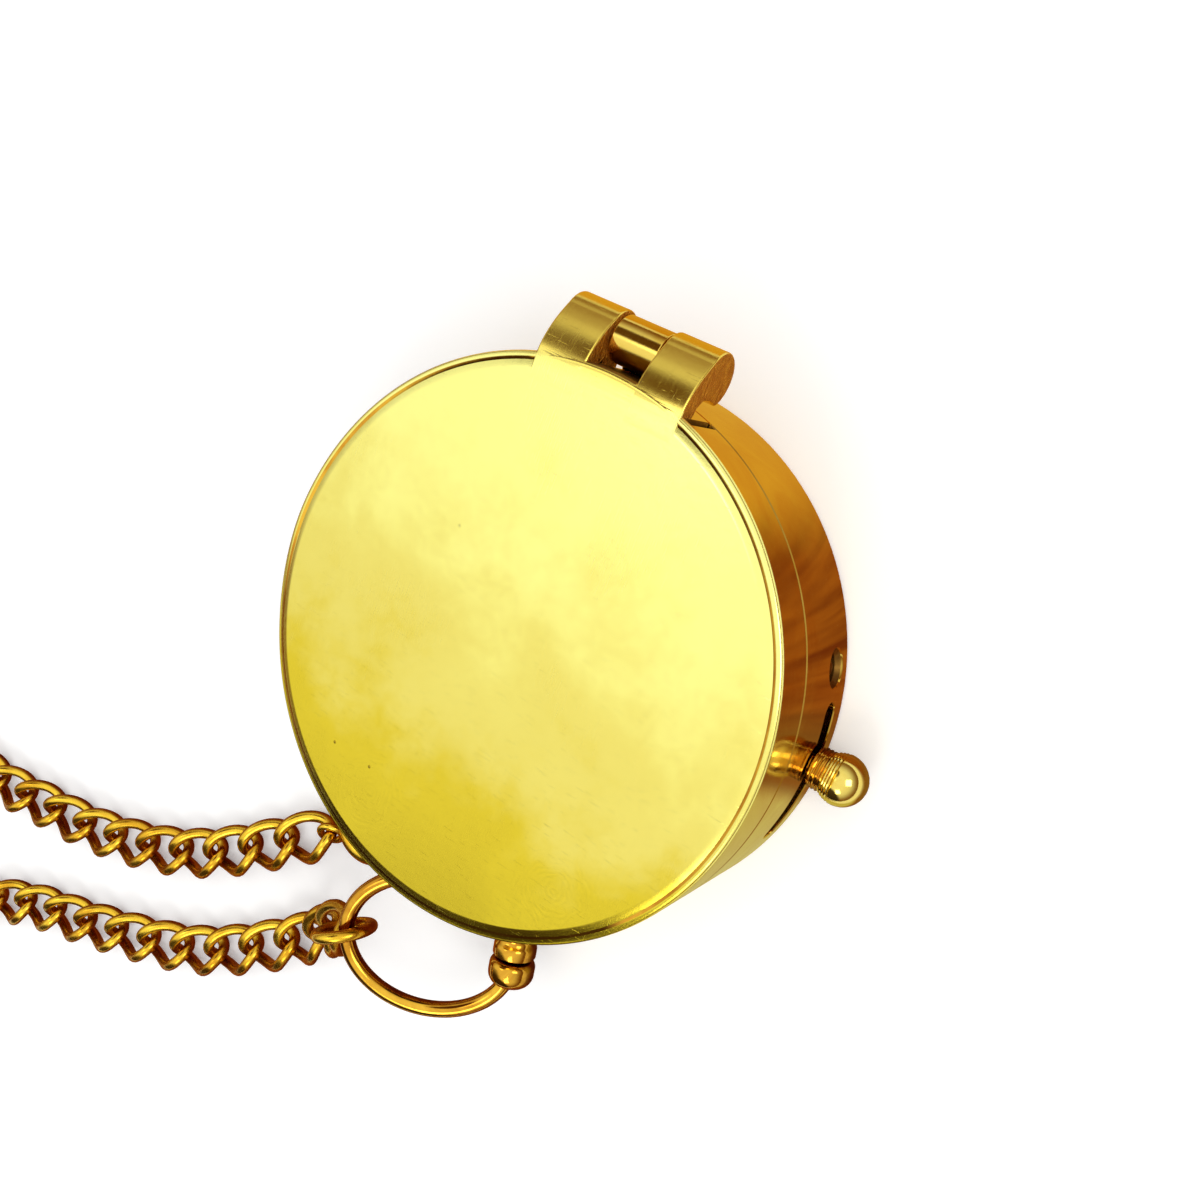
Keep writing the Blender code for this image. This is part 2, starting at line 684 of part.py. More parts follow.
def make_pendant():
    """The flanged post in the case wall, and the bow whose bead turns on its head."""
    flange = clearance + pendant_length
    head_end = bead_middle - case_radius + bead_length / 2 - bead_end - clearance
    head_start = bead_middle - case_radius - bead_length / 2 + bead_lip + clearance
    profile = [
        (0.0, -1.6 * mm), (pendant_core_radius, -1.6 * mm), (pendant_core_radius, clearance),
        (pendant_flange_radius, clearance), (pendant_flange_radius, 0.62 * flange),
        (pendant_flange_radius - 0.5 * mm, 0.68 * flange),
        (pendant_flange_radius - 0.5 * mm, 0.74 * flange),
        (pendant_flange_radius, 0.8 * flange), (pendant_flange_radius, flange - 0.4 * mm),
        (pendant_flange_radius - 0.4 * mm, flange), (pendant_core_radius, flange),
        (pendant_core_radius, head_start), (pendant_head_radius, head_start),
        (pendant_head_radius, head_end - 0.3 * mm),
        (pendant_head_radius - 0.3 * mm, head_end), (0.0, head_end),
    ]
    profile.reverse()
    post = add("pendant_post", turned_mesh("pendant_post", profile, small_steps), polished)
    post.matrix_world = radial_frame(pendant_angle, case_radius, pendant_height)

    frame = bow_frame()
    under = pendant_flange_radius + bow_wire_radius + clearance
    beside = bead_radius + 0.45 * bow_wire_radius
    gap = -bead_length / 2
    path = [bow_point(bow_start + (bow_round - bow_start) * i / 36) for i in range(37)]
    tail = [path[-2], path[-1]] + [Vector(p) for p in (
        (1.36 * under, gap - 8.2 * mm, -0.10 * under), (0.92 * under, gap - 6.6 * mm, -0.50 * under),
        (0.52 * under, gap - 4.8 * mm, -0.90 * under), (0.20 * under, gap - 2.7 * mm, -1.02 * under),
        (0.05 * under, gap - 0.9 * mm, -1.04 * under), (0.0, gap + 1.4 * mm, -beside),
        (0.0, gap + 3.0 * mm, -beside),
    )]
    path += curve_through(tail)[6:-6]
    wire = [frame @ p for p in path]
    bow = add("bow", wire_mesh("bow", wire, bow_wire_radius, False, 2), polished)
    half = bead_length / 2
    round_off = 1.3 * mm
    shape = [(0.0, half)] + arc((bead_radius - round_off, half - round_off), round_off, 90, 0, 3)
    shape += arc((bead_radius - round_off, round_off - half), round_off, 0, -90, 3) + [(0.0, -half)]
    chamber = [
        (0.0, half - bead_end), (pendant_head_radius + clearance, half - bead_end),
        (pendant_head_radius + clearance, bead_lip - half),
        (pendant_core_radius + clearance, bead_lip - half),
        (pendant_core_radius + clearance, -half - 1.0 * mm), (0.0, -half - 1.0 * mm),
    ]
    turn = Matrix.Rotation(math.radians(-90), 4, "X")
    bead = cutter("bead_join", turned_mesh("bead", shape, small_steps))
    bead.matrix_world = frame @ turn
    boolean(bow, bead, "UNION")
    hollow = cutter("bead_hollow", turned_mesh("bead_hollow", chamber, small_steps))
    hollow.matrix_world = frame @ turn
    boolean(bow, hollow, "DIFFERENCE")


def curve_through(vectors, steps=6):
    """A smooth curve through the points."""
    dense = []
    for i in range(len(vectors) - 1):
        p0 = vectors[max(i - 1, 0)]
        p1, p2 = vectors[i], vectors[i + 1]
        p3 = vectors[min(i + 2, len(vectors) - 1)]
        for k in range(steps):
            t = k / steps
            dense.append(0.5 * (2 * p1 + (p2 - p0) * t + (2 * p0 - 5 * p1 + 4 * p2 - p3) * t * t
                                + (3 * p1 - p0 - 3 * p2 + p3) * t ** 3))
    dense.append(vectors[-1])
    return dense


def stops_along(vectors, spacing):
    """Points on the route that are all the same distance apart."""
    dense = curve_through(vectors, 24)
    places = [dense[0]]
    here = dense[0]
    index = 1
    while index < len(dense):
        if (dense[index] - places[-1]).length < spacing:
            here = dense[index]
            index += 1
            continue
        step = dense[index] - here
        low, high = 0.0, 1.0
        for _ in range(30):
            middle = (low + high) / 2
            if (here + step * middle - places[-1]).length < spacing:
                low = middle
            else:
                high = middle
        here = here + step * high
        places.append(here.copy())
    return places


def link_centreline():
    """An oval, turned one way at one end and the other way at the other, as a curb link is."""
    half_length = link_length / 2 - link_wire_radius
    half_width = link_width / 2 - link_wire_radius
    points = []
    for i in range(link_points):
        turn = 2 * math.pi * (i + 0.5) / link_points
        x = half_length * math.cos(turn)
        y = half_width * math.sin(turn)
        twist = math.radians(link_twist) * x / half_length
        points.append((x, y * math.cos(twist), y * math.sin(twist)))
    return points


def along(start, finish):
    """A frame in the middle of two joints of the chain, X along it and Z up."""
    forward = (finish - start).normalized()
    side = Vector((0, 0, 1)).cross(forward).normalized()
    up = forward.cross(side)
    frame = Matrix((forward, side, up)).transposed().to_4x4()
    frame.translation = (start + finish) / 2
    return frame


def make_chain():
    """The jump ring on the bow, the curb links, one after the other, and the clasp."""
    hang = bow_frame() @ bow_point(172.0)
    route = [
        Vector((hang.x + across * link_pitch, hang.y + back * link_pitch, height * mm))
        for across, back, height in chain_route
    ]
    heading = (route[0] - hang).normalized()
    side = Vector((0, 0, 1)).cross(heading).normalized()
    up = heading.cross(side)
    middle = hang + heading * (jump_ring_radius - link_wire_radius - bow_wire_radius - 1.5 * clearance)
    circle = []
    for i in range(20):
        turn = 2 * math.pi * i / 20
        circle.append(middle + (heading * math.cos(turn) + up * math.sin(turn)) * jump_ring_radius)
    add("jump_ring", wire_mesh("jump_ring", circle, link_wire_radius, True), satin)

    hook = middle + heading * (jump_ring_radius - link_wire_radius - 0.7 * link_slack)
    stops = stops_along([hook] + route, link_pitch)
    link = wire_mesh("link", link_centreline(), link_wire_radius, True)
    for i in range(chain_links):
        piece = add(f"chain_link_{i + 1:02d}", link.copy(), satin)
        piece.matrix_world = along(stops[i], stops[i + 1])
    make_clasp(stops[chain_links - 1], stops[chain_links])


def torus_arc(radius, tube, start, finish, steps, resolution):
    points = [(radius * math.cos(math.radians(start + (finish - start) * i / steps)),
               radius * math.sin(math.radians(start + (finish - start) * i / steps)), 0.0)
              for i in range(steps + 1)]
    return wire_mesh("arc", points, tube, False, resolution)


def make_clasp(before, end):
    """A spring ring: a hollow ring with a mouth, and a bolt with a stud that slides round in it."""
    heading = end - before
    flat = Vector((heading.x, heading.y, 0)).normalized()
    loop_reach = clasp_radius + clasp_loop_radius + 0.9 * mm
    centre = end + flat * (loop_reach + clasp_loop_radius - clasp_eye_wire - clearance + link_slack / 2)
    centre.z = clasp_tube_radius + 0.2 * mm
    frame = along(centre - flat * mm, centre + flat * mm)
    frame.translation = centre
    body = add("clasp_body", torus_arc(clasp_radius, clasp_tube_radius, clasp_mouth_at + clasp_mouth / 2,
                                       clasp_mouth_at + 360 - clasp_mouth / 2, 26, 2), satin)
    body.matrix_world = frame
    loop = []
    for i in range(12):
        turn = 2 * math.pi * i / 12
        loop.append((clasp_loop_radius * math.cos(turn), 0.0, clasp_loop_radius * math.sin(turn)))
    eye = cutter("clasp_eye_join", wire_mesh("clasp_eye", loop, clasp_eye_wire, True))
    # The eye is turned square to the wire of the last link
    eye.matrix_world = (frame @ Matrix.Translation((-loop_reach, 0, link_level * mm - centre.z))
                        @ Matrix.Rotation(math.radians(link_twist), 4, "X"))
    boolean(body, eye, "UNION")
    mouth_edge = clasp_mouth_at - clasp_mouth / 2
    channel = cutter("bolt_channel", torus_arc(clasp_radius, clasp_bore_radius, mouth_edge + 3,
                                               mouth_edge - clasp_travel - 50, 14, 1))
    channel.matrix_world = frame
    boolean(body, channel, "DIFFERENCE")
    stud_at = mouth_edge - 6
    slot = cutter("stud_slot", torus_arc(clasp_radius + 1.3 * mm, 0.95 * mm, mouth_edge + 3,
                                         stud_at - clasp_travel - 8, 12, 1))
    slot.matrix_world = frame
    boolean(body, slot, "DIFFERENCE")
    bolt_start = mouth_edge + clasp_mouth - 3
    bolt = add("clasp_bolt", torus_arc(clasp_radius, clasp_bolt_radius, bolt_start,
                                       mouth_edge - 44, 14, 1), satin)
    bolt.matrix_world = frame
    stud = cutter("stud_join", cylinder_mesh("stud", 0.32 * mm, 2.0 * mm, 12))
    stud.matrix_world = frame @ radial_frame(stud_at, clasp_radius + 1.25 * mm, 0.0)
    boolean(bolt, stud, "UNION")


empty_scene()
parts = collection_named("compass")
cutters = collection_named("cutters")
polished = material("polished_brass", brass, 0.12, 1.0)
satin = material("satin_brass", chain_brass, 0.28, 1.0)
dial_paint = material("dial_enamel", dial_white, 0.45, 0.0)
blued = material("blued_steel", steel_blue, 0.3, 1.0)
clear = material("glass", glass_clear, 0.05, 0.0)

make_case()
make_lid()
make_hinge_pin()
make_dial_side()
make_pivot()
make_lock()
make_knob()
make_side_screw()
make_pendant()
make_chain()
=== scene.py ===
from math import asin, atan2, cos, degrees, hypot, pi, radians, sin

import bmesh
import bpy
import numpy
from mathutils import Matrix, Vector


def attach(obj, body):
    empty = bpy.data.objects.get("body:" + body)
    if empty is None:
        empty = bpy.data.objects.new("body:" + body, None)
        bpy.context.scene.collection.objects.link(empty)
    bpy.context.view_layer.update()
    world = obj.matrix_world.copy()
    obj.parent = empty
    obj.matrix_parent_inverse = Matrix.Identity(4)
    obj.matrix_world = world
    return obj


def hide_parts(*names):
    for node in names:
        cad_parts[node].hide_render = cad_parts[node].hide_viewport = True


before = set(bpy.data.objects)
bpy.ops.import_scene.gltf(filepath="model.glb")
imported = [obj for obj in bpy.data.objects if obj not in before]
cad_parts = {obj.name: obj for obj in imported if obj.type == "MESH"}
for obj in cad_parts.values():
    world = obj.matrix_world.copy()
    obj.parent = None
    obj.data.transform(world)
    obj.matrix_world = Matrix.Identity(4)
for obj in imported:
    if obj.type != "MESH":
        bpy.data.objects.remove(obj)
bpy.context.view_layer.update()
scene = bpy.context.scene
up = Vector((0, 0, 1))
mm = 0.001
fine = 256  # facets round the large turned pieces
small = 72  # facets round the small ones


class Settings(dict):
    # A dictionary that also gives its values as look.radius
    __getattr__ = dict.__getitem__


def linked(name, data):
    holder = bpy.data.objects.new(name, data)
    scene.collection.objects.link(holder)
    return holder


def columns(*axes):
    return Matrix(axes).transposed().to_4x4()


cameraLook = Settings(
    lens=36.88, sensor=36.0, near=0.005, far=20.0,
    place=(0.071748, 0.049553, 0.156660),
    right=(0.7965, 0.3722, -0.4768), forward=(-0.4096, -0.2483, -0.8780),
)


def makeCamera(look):
    lens = bpy.data.cameras.new("camera")
    lens.lens = look.lens
    lens.sensor_width = look.sensor
    lens.clip_start = look.near
    lens.clip_end = look.far
    back = -Vector(look.forward).normalized()
    rise = back.cross(Vector(look.right)).normalized()
    scene.camera = linked("camera", lens)
    scene.camera.matrix_world = Matrix.Translation(look.place) @ columns(rise.cross(back), rise, back)


makeCamera(cameraLook)
print("camera set")


def feed(node, inputs):
    # Links the sockets among the inputs and sets the plain values
    for key, value in inputs.items():
        if isinstance(value, bpy.types.NodeSocket):
            node.id_data.links.new(value, node.inputs[key])
        else:
            node.inputs[key].default_value = value


def addNode(tree, kind, inputs=None, **settings):
    made = tree.nodes.new(kind)
    for key, value in settings.items():
        setattr(made, key, value)
    feed(made, inputs or {})
    return made


def shade(tree, kind, inputs=None, **settings):
    return addNode(tree, "ShaderNode" + kind, inputs, **settings).outputs


def shape(tree, kind, inputs=None, **settings):
    return addNode(tree, "GeometryNode" + kind, inputs, **settings).outputs[0]


# The functions below add to the tree of the first socket they are given
def compute(operation, first, second=0.0, clamp=False):
    return shade(first.id_data, "Math", {0: first, 1: second}, operation=operation, use_clamp=clamp)[0]


def times(first, second):
    return compute("MULTIPLY", first, second)


def plus(first, second, clamp=False):
    return compute("ADD", first, second, clamp)


def mixColour(share, first, second):
    return shade(share.id_data, "Mix", {0: share, 6: first, 7: second}, data_type="RGBA")[2]


def mixValue(share, first, second):
    return shade(share.id_data, "Mix", {0: share, 2: first, 3: second}, data_type="FLOAT")[0]


def spread(value, low, high, toLow=0.0, toHigh=1.0):
    return shade(value.id_data, "MapRange", {
        "Value": value, "From Min": low, "From Max": high, "To Min": toLow, "To Max": toHigh},
        interpolation_type="SMOOTHSTEP")[0]


def noise(where, scale, detail=4.0, roughness=0.55, distortion=0.0):
    return shade(where.id_data, "TexNoise", {
        "Vector": where, "Scale": scale, "Detail": detail, "Roughness": roughness,
        "Distortion": distortion})[0]


def stretched(where, scale, turn=(0, 0, 0)):
    return shade(where.id_data, "Mapping", {
        "Vector": where, "Scale": scale, "Rotation": [radians(a) for a in turn]})[0]


def measured(operation, first, second):
    return shade(first.id_data, "VectorMath", {0: first, 1: second}, operation=operation)["Value"]


def split(where):
    return shade(where.id_data, "SeparateXYZ", {0: where})


def newMaterial(name, metallic=0.0):
    made = bpy.data.materials.new(name)
    made.use_nodes = True
    shader = made.node_tree.nodes["Principled BSDF"]
    shader.inputs["Metallic"].default_value = metallic
    return made, shader, shade(made.node_tree, "TexCoord")["Object"]


def dress(shader, colour, rough, *layers):
    # layers: height, distance and strength of each bump, the deepest first
    below = {}
    for height, distance, strength in layers:
        below["Normal"] = shade(shader.id_data, "Bump", {
            "Height": height, "Distance": distance, "Strength": strength, **below})[0]
    feed(shader, {"Base Color": colour, "Roughness": rough, **below})


lidLook = Settings(
    # pale, middle and deep: the colours of the painted reflection across the top
    pale=(0.97, 0.92, 0.27, 1), middle=(0.83, 0.71, 0.15, 1), deep=(0.76, 0.59, 0.035, 1),
    pit=(0.25, 0.13, 0.01, 1), ears=(0.86, 0.64, 0.10, 1), earsFrom=34.5, earsTo=38.5,
    slope=(-1.0, -26.0, 0.0),
    swirls=((-10.8, -27.3, 24.9), (20.0, -24.0, 24.9)), swirlPitch=0.72,
)
# Where a look has under, that is the colour of the painted shade on its lower sides
brassLooks = Settings(
    polishedBrass=Settings(
        pale=(0.86, 0.70, 0.17, 1), deep=(0.78, 0.52, 0.06, 1), rough=(0.05, 0.13), grain=0.10, wave=0.25,
        streak=(0.9, 0.9, 0.06)),
    goldenBrass=Settings(
        pale=(0.84, 0.62, 0.12, 1), deep=(0.74, 0.43, 0.035, 1), rough=(0.05, 0.15), grain=0.10, wave=0.3,
        streak=(0.3, 0.3, 0.9)),
    satinBrass=Settings(
        pale=(0.93, 0.62, 0.05, 1), deep=(0.62, 0.27, 0.010, 1), rough=(0.16, 0.30), grain=0.4, wave=0.6,
        streak=(0.6, 0.6, 0.6), under=(0.30, 0.075, 0.004, 1)),
    # Painted shade: a dark brass for the screw's hole and head and the gaps by the hinge
    paintedShadeBrass=Settings(
        pale=(0.30, 0.16, 0.03, 1), deep=(0.10, 0.04, 0.01, 1), rough=(0.35, 0.5), grain=0.3, wave=0.3,
        streak=(0.6, 0.6, 0.6)),
    bowBrass=Settings(
        pale=(0.82, 0.47, 0.045, 1), deep=(0.44, 0.14, 0.008, 1), rough=(0.05, 0.14), grain=0.10, wave=0.4,
        streak=(0.3, 0.3, 0.9), under=(0.16, 0.03, 0.004, 1)),
    innerBrass=Settings(
        pale=(0.74, 0.55, 0.14, 1), deep=(0.58, 0.36, 0.06, 1), rough=(0.22, 0.38), grain=0.4, wave=0.4,
        streak=(0.9, 0.9, 0.06)),
)


def makeBrass(name, look):
    made, shader, where = newMaterial(name, 1.0)
    blotch = noise(where, 90, 5, 0.6, 0.6)
    tarnish = noise(where, 420, 5, 0.65)
    share = plus(times(spread(blotch, 0.36, 0.66), 0.75), spread(tarnish, 0.52, 0.75, 0.0, 0.25), True)
    colour = mixColour(share, look.pale, look.deep)
    if "under" in look:
        # Painted shade: the lower sides are darkened towards the under colour and the upper sides kept
        # bright, as light falls from above
        height = split(shade(made.node_tree, "NewGeometry")["Normal"])[2]
        height = plus(height, spread(tarnish, 0.35, 0.65, -0.15, 0.15))
        colour = mixColour(spread(height, -0.15, 0.8), look.under, colour)
    lines = noise(stretched(where, [9000 * s for s in look.streak]), 1.0, 3, 0.6)
    rough = spread(noise(where, 260, 4, 0.6), 0.3, 0.72, *look.rough)
    dress(shader, colour, plus(rough, spread(lines, 0.55, 0.8, 0.0, 0.10)),
          (noise(where, 70, 2, 0.4), 0.0006, look.wave * 0.5), (lines, 0.00002, look.grain),
          (noise(where, 3600, 3, 0.6), 0.00003, look.grain))
    return made


def makeLidFace(name, look):
    made, shader, where = newMaterial(name, 1.0)
    blotch = noise(where, 55, 4, 0.5, 0.4)
    # Painted reflection: palest towards the hinge, deepest towards the bow, with random blotches of tone
    slope = plus(measured("DOT_PRODUCT", where, look.slope), spread(blotch, 0.25, 0.75, -0.2, 0.2))
    slope = plus(slope, spread(noise(where, 300, 5, 0.6, 0.3), 0.3, 0.75, -0.07, 0.07))
    colour = mixColour(spread(slope, -0.65, 0.12), look.pale, look.middle)
    colour = mixColour(spread(slope, 0.1, 0.62), colour, look.deep)
    colour = mixColour(spread(split(where)[1], look.earsFrom * mm, look.earsTo * mm), colour, look.ears)
    # Pits and specks in the polish
    cells = shade(made.node_tree, "TexVoronoi", {"Vector": where, "Scale": 330, "Randomness": 1.0})
    speck = times(spread(cells["Distance"], 0.05, 0.09, 1.0, 0.0), spread(cells["Color"], 0.86, 0.9))
    colour = mixColour(times(speck, 0.55), colour, look.pit)
    # Two patches of rings left by the polishing wheel
    rings = []
    waver = times(noise(where, 330, 3), 0.0024)
    broken = spread(noise(where, 600, 3), 0.42, 0.62)
    for centre in look.swirls:
        distance = measured("DISTANCE", where, [c * mm for c in centre])
        turn = times(plus(distance, waver), 2 * pi / (look.swirlPitch * mm))
        near = times(compute("SINE", turn), spread(distance, 0.003, 0.0085, 0.45, 0.0))
        rings.append(times(near, broken))
    rings = plus(*rings)
    brushed = noise(stretched(where, (5200, 260, 400), (0, 0, 33)), 1.0, 4, 0.65)
    hair = noise(stretched(where, (300, 9000, 400), (0, 0, -18)), 1.0, 2, 0.5)
    rough = plus(spread(blotch, 0.3, 0.7, 0.15, 0.26), spread(brushed, 0.5, 0.8, 0.0, 0.09))
    dress(shader, colour, plus(rough, times(rings, 0.08)), (noise(where, 42, 2, 0.4), 0.0008, 0.12),
          (noise(where, 520, 4, 0.6), 0.00008, 0.16), (rings, 0.00002, 0.22), (brushed, 0.00002, 0.22),
          (spread(hair, 0.66, 0.74), 0.00002, 0.30), (speck, 0.00008, 0.5))
    return made


def makeFiledBrass(name):
    # The sawn and filed end faces of the hinge ears
    made, shader, where = newMaterial(name, 1.0)
    lines = noise(stretched(where, (400, 700, 9000), (24, 0, 0)), 1.0, 3, 0.6)
    colour = mixColour(spread(lines, 0.35, 0.65), (0.66, 0.32, 0.04, 1), (0.34, 0.09, 0.012, 1))
    dress(shader, colour, spread(lines, 0.3, 0.7, 0.14, 0.40), (lines, 0.00022, 1.0),
          (noise(where, 900, 4), 0.0001, 0.25))
    return made


def makeEnamel(name, colour, deep, rough=0.32):
    made, shader, where = newMaterial(name)
    colour = mixColour(spread(noise(where, 150, 5, 0.6), 0.35, 0.7), colour, deep)
    rough = spread(noise(where, 700, 3), 0.3, 0.7, rough, rough + 0.14)
    dress(shader, colour, rough, (noise(where, 1400, 4), 0.00004, 0.2))
    return made


def makeSteel(name):
    made, shader, where = newMaterial(name, 1.0)
    heat = spread(noise(where, 170, 4, 0.6, 0.4), 0.3, 0.7)
    lines = noise(stretched(where, (6000, 120, 400)), 1.0, 3)
    dress(shader, mixColour(heat, (0.035, 0.055, 0.26, 1), (0.10, 0.07, 0.30, 1)),
          spread(lines, 0.3, 0.7, 0.18, 0.34), (lines, 0.00003, 0.3))
    return made


def makeGlass(name):
    made, shader, where = newMaterial(name)
    feed(shader, {"Transmission Weight": 1.0, "IOR": 1.45})
    dress(shader, (0.97, 0.99, 0.98, 1), spread(noise(where, 120, 4, 0.6), 0.5, 0.8, 0.0, 0.035),
          (noise(where, 60, 2), 0.0002, 0.05))
    return made


polished, golden, satin, paintedShade, wireBrass, inner = (makeBrass(*item) for item in brassLooks.items())
lidFace = makeLidFace("lidFaceBrass", lidLook)
filed = makeFiledBrass("filedBrass")
enamel = makeEnamel("dialEnamel", (0.83, 0.80, 0.68, 1), (0.76, 0.71, 0.56, 1))
ink = makeEnamel("dialInk", (0.012, 0.012, 0.014, 1), (0.03, 0.028, 0.03, 1), 0.4)
rust = makeEnamel("dialRed", (0.42, 0.035, 0.02, 1), (0.33, 0.03, 0.02, 1), 0.4)
blued = makeSteel("bluedSteel")
clear = makeGlass("glassPane")
print("materials made")


def between(start, finish, count):
    return [start + (finish - start) * i / count for i in range(count + 1)]


def circle(count):
    return [2 * pi * i / count for i in range(count)]


def arc(centre, radius, start, finish, count):
    return [(centre[0] + radius * cos(a), centre[1] + radius * sin(a))
            for a in map(radians, between(start, finish, count))]


def moved(x, y, z):
    return Matrix.Translation((x * mm, y * mm, z * mm))


def turnBy(angle, axis):
    return Matrix.Rotation(radians(angle), 4, axis)


def around(angle, radius, height):
    turn = radians(angle)
    return Vector((radius * cos(turn), radius * sin(turn), height)) * mm


def radialFrame(angle, radius, height):
    return Matrix.Translation(around(angle, radius, height)) @ turnBy(angle, "Z") @ turnBy(90, "Y")


def hingeFrame(look):
    return moved(0, look.hingeY, look.hingeZ) @ turnBy(90, "Y")


toX = columns((0, 1, 0), (0, 0, 1), (1, 0, 0))  # (y, z) outlines, their depth along X


def rod(radius, low, high):
    return [(0, low), (radius, low), (radius, high), (0, high)]


def softened(profile, size, count=3):
    # Rounds each corner of a (radius, height) outline, apart from those on the axis
    points = [Vector(p) for p in profile]
    made = []
    for i, here in enumerate(points):
        into, out = points[i - 1] - here, points[(i + 1) % len(points)] - here
        if here.x < 1e-6 or min(into.length, out.length) < 1e-6 or degrees(into.angle(out)) > 165:
            made.append(tuple(here))
            continue
        cut = min(size, into.length * 0.45, out.length * 0.45)
        first, last = here + into.normalized() * cut, here + out.normalized() * cut
        for t in between(0, 1, count):
            made.append(tuple(first * (1 - t) ** 2 + here * 2 * t * (1 - t) + last * t * t))
    return made


def meshOf(solid, name="made"):
    mesh = bpy.data.meshes.new(name)
    solid.to_mesh(mesh)
    solid.free()
    return mesh


def closedMesh(solid, matrix=Matrix()):
    bmesh.ops.recalc_face_normals(solid, faces=solid.faces)
    mesh = meshOf(solid)
    mesh.transform(matrix)
    return mesh


def level(solid, outline, height):
    return [solid.verts.new((x * mm, y * mm, height * mm)) for x, y in outline]


def band(solid, first, second):
    # Faces between two closed rows of points
    for i in range(len(first)):
        j = (i + 1) % len(first)
        solid.faces.new((first[i], first[j], second[j], second[i]))


def turned(profile, steps=fine, matrix=Matrix()):
    solid = bmesh.new()
    rings = []
    for radius, height in profile:
        turns = circle(steps if radius > 1e-6 else 1)
        rings.append(level(solid, [(radius * cos(a), radius * sin(a)) for a in turns], height))
    pairs = list(zip(rings, rings[1:]))
    if max(profile[0][0], profile[-1][0]) > 1e-6:
        pairs.append((rings[-1], rings[0]))
    for first, second in pairs:
        if len(first) == len(second) == steps:
            band(solid, first, second)
        elif len(first) != len(second):
            for i in range(steps):
                j = (i + 1) % steps
                solid.faces.new((first[0], second[j], second[i]) if len(first) == 1 else
                                (first[i], first[j], second[0]))
    return closedMesh(solid, matrix)


def slab(outline, low, high, bevel=0.0, matrix=Matrix()):
    # A flat outline between two heights, its edges rounded over
    solid = bmesh.new()
    bottom, top = level(solid, outline, low), level(solid, outline, high)
    solid.faces.new(bottom)
    solid.faces.new(top)
    band(solid, bottom, top)
    bmesh.ops.recalc_face_normals(solid, faces=solid.faces)
    if bevel:
        rims = [e for e in solid.edges if abs(e.verts[0].co.z - e.verts[1].co.z) < 1e-9]
        bmesh.ops.bevel(solid, geom=rims, offset=bevel * mm, segments=3, profile=0.5, affect="EDGES")
    return closedMesh(solid, matrix)


def pipe(points, radius, closed=False, sides=16):
    # A round wire swept along points, with its frame carried along from point to point
    solid = bmesh.new()
    count = len(points)
    side = None
    rings = []
    for i, spot in enumerate(points):
        before = points[i - 1] if closed or i else spot
        after = points[(i + 1) % count] if closed or i < count - 1 else spot
        tangent = (after - before).normalized()
        side = side or tangent.orthogonal().normalized()
        side = (side - tangent * side.dot(tangent)).normalized()
        other = tangent.cross(side)
        offsets = [(side * cos(a) + other * sin(a)) * radius for a in circle(sides)]
        rings.append([solid.verts.new(spot + offset) for offset in offsets])
    for first, second in zip(rings, rings[1:]):
        band(solid, first, second)
    if closed:
        turn = min(range(sides), key=lambda k: (rings[0][k].co - rings[-1][0].co).length)
        band(solid, rings[-1], rings[0][turn:] + rings[0][:turn])
    else:
        solid.faces.new(rings[0])
        solid.faces.new(rings[-1])
    return closedMesh(solid)


def throughPoints(points, steps):
    # A smooth curve through the points
    made = []
    padded = points[:1] + points + points[-1:]
    for p0, p1, p2, p3 in zip(padded, padded[1:], padded[2:], padded[3:]):
        for t in between(0, 1, steps)[:-1]:
            made.append(0.5 * (2 * p1 + (p2 - p0) * t + (2 * p0 - 5 * p1 + 4 * p2 - p3) * t * t
                               + (3 * p1 - p0 - 3 * p2 + p3) * t ** 3))
    return made + [points[-1]]


def joined(meshes):
    solid = bmesh.new()
    for mesh in meshes:
        solid.from_mesh(mesh)
    return meshOf(solid)


def evaluated(thing):
    bpy.context.view_layer.update()
    graph = bpy.context.evaluated_depsgraph_get()
    return bpy.data.meshes.new_from_object(thing.evaluated_get(graph))


def taken(holder):
    # The mesh that an object comes to, and the object goes
    made = evaluated(holder)
    bpy.data.objects.remove(holder, do_unlink=True)
    return made


def cutAndJoined(mesh, steps):
    # steps: ("UNION" or "DIFFERENCE", mesh) in the order in which a maker does them
    work = linked("work", mesh)
    helpers = []
    for operation, tool in steps:
        helpers.append(linked("tool", tool))
        step = work.modifiers.new("step", "BOOLEAN")
        step.operation = operation
        step.object = helpers[-1]
    made = taken(work)
    for helper in helpers:
        bpy.data.objects.remove(helper, do_unlink=True)
    return made


def trueNormals(mesh, wallRadius, flats):
    # Cuts leave long facets in a turned wall, so its normals are set to those of the real cylinder
    corners = [c.vector.copy() for c in mesh.corner_normals]
    for face in mesh.polygons:
        normal = face.normal
        for corner in face.loop_indices:
            spot = mesh.vertices[mesh.loops[corner].vertex_index].co
            flat = Vector((spot.x, spot.y, 0.0))
            onWall = abs(flat.length - wallRadius * mm) < 2e-5 and abs(normal.z) < 0.02
            if onWall and normal.dot(flat.normalized()) > 0.99:
                corners[corner] = flat.normalized()
            elif abs(normal.z) > 0.9999 and any(abs(spot.z - z * mm) < 1e-5 for z in flats):
                corners[corner] = Vector((0, 0, 1 if normal.z > 0 else -1))
    mesh.normals_split_custom_set([tuple(c) for c in corners])


def place(name, mesh, material, body, replaced=(), angle=32, even=True):
    mesh.name = name
    piece = linked(name, mesh)
    mesh.materials.clear()
    mesh.materials.append(material)
    mesh.shade_smooth()
    mesh.set_sharp_from_angle(angle=radians(angle))
    if even:
        step = piece.modifiers.new("evenShading", "WEIGHTED_NORMAL")
        step.keep_sharp = True
        step.weight = 90
        piece.data = evaluated(piece)
        piece.modifiers.clear()
        piece.data.name = name
    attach(piece, body)
    if replaced:
        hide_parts(*replaced)
    return piece


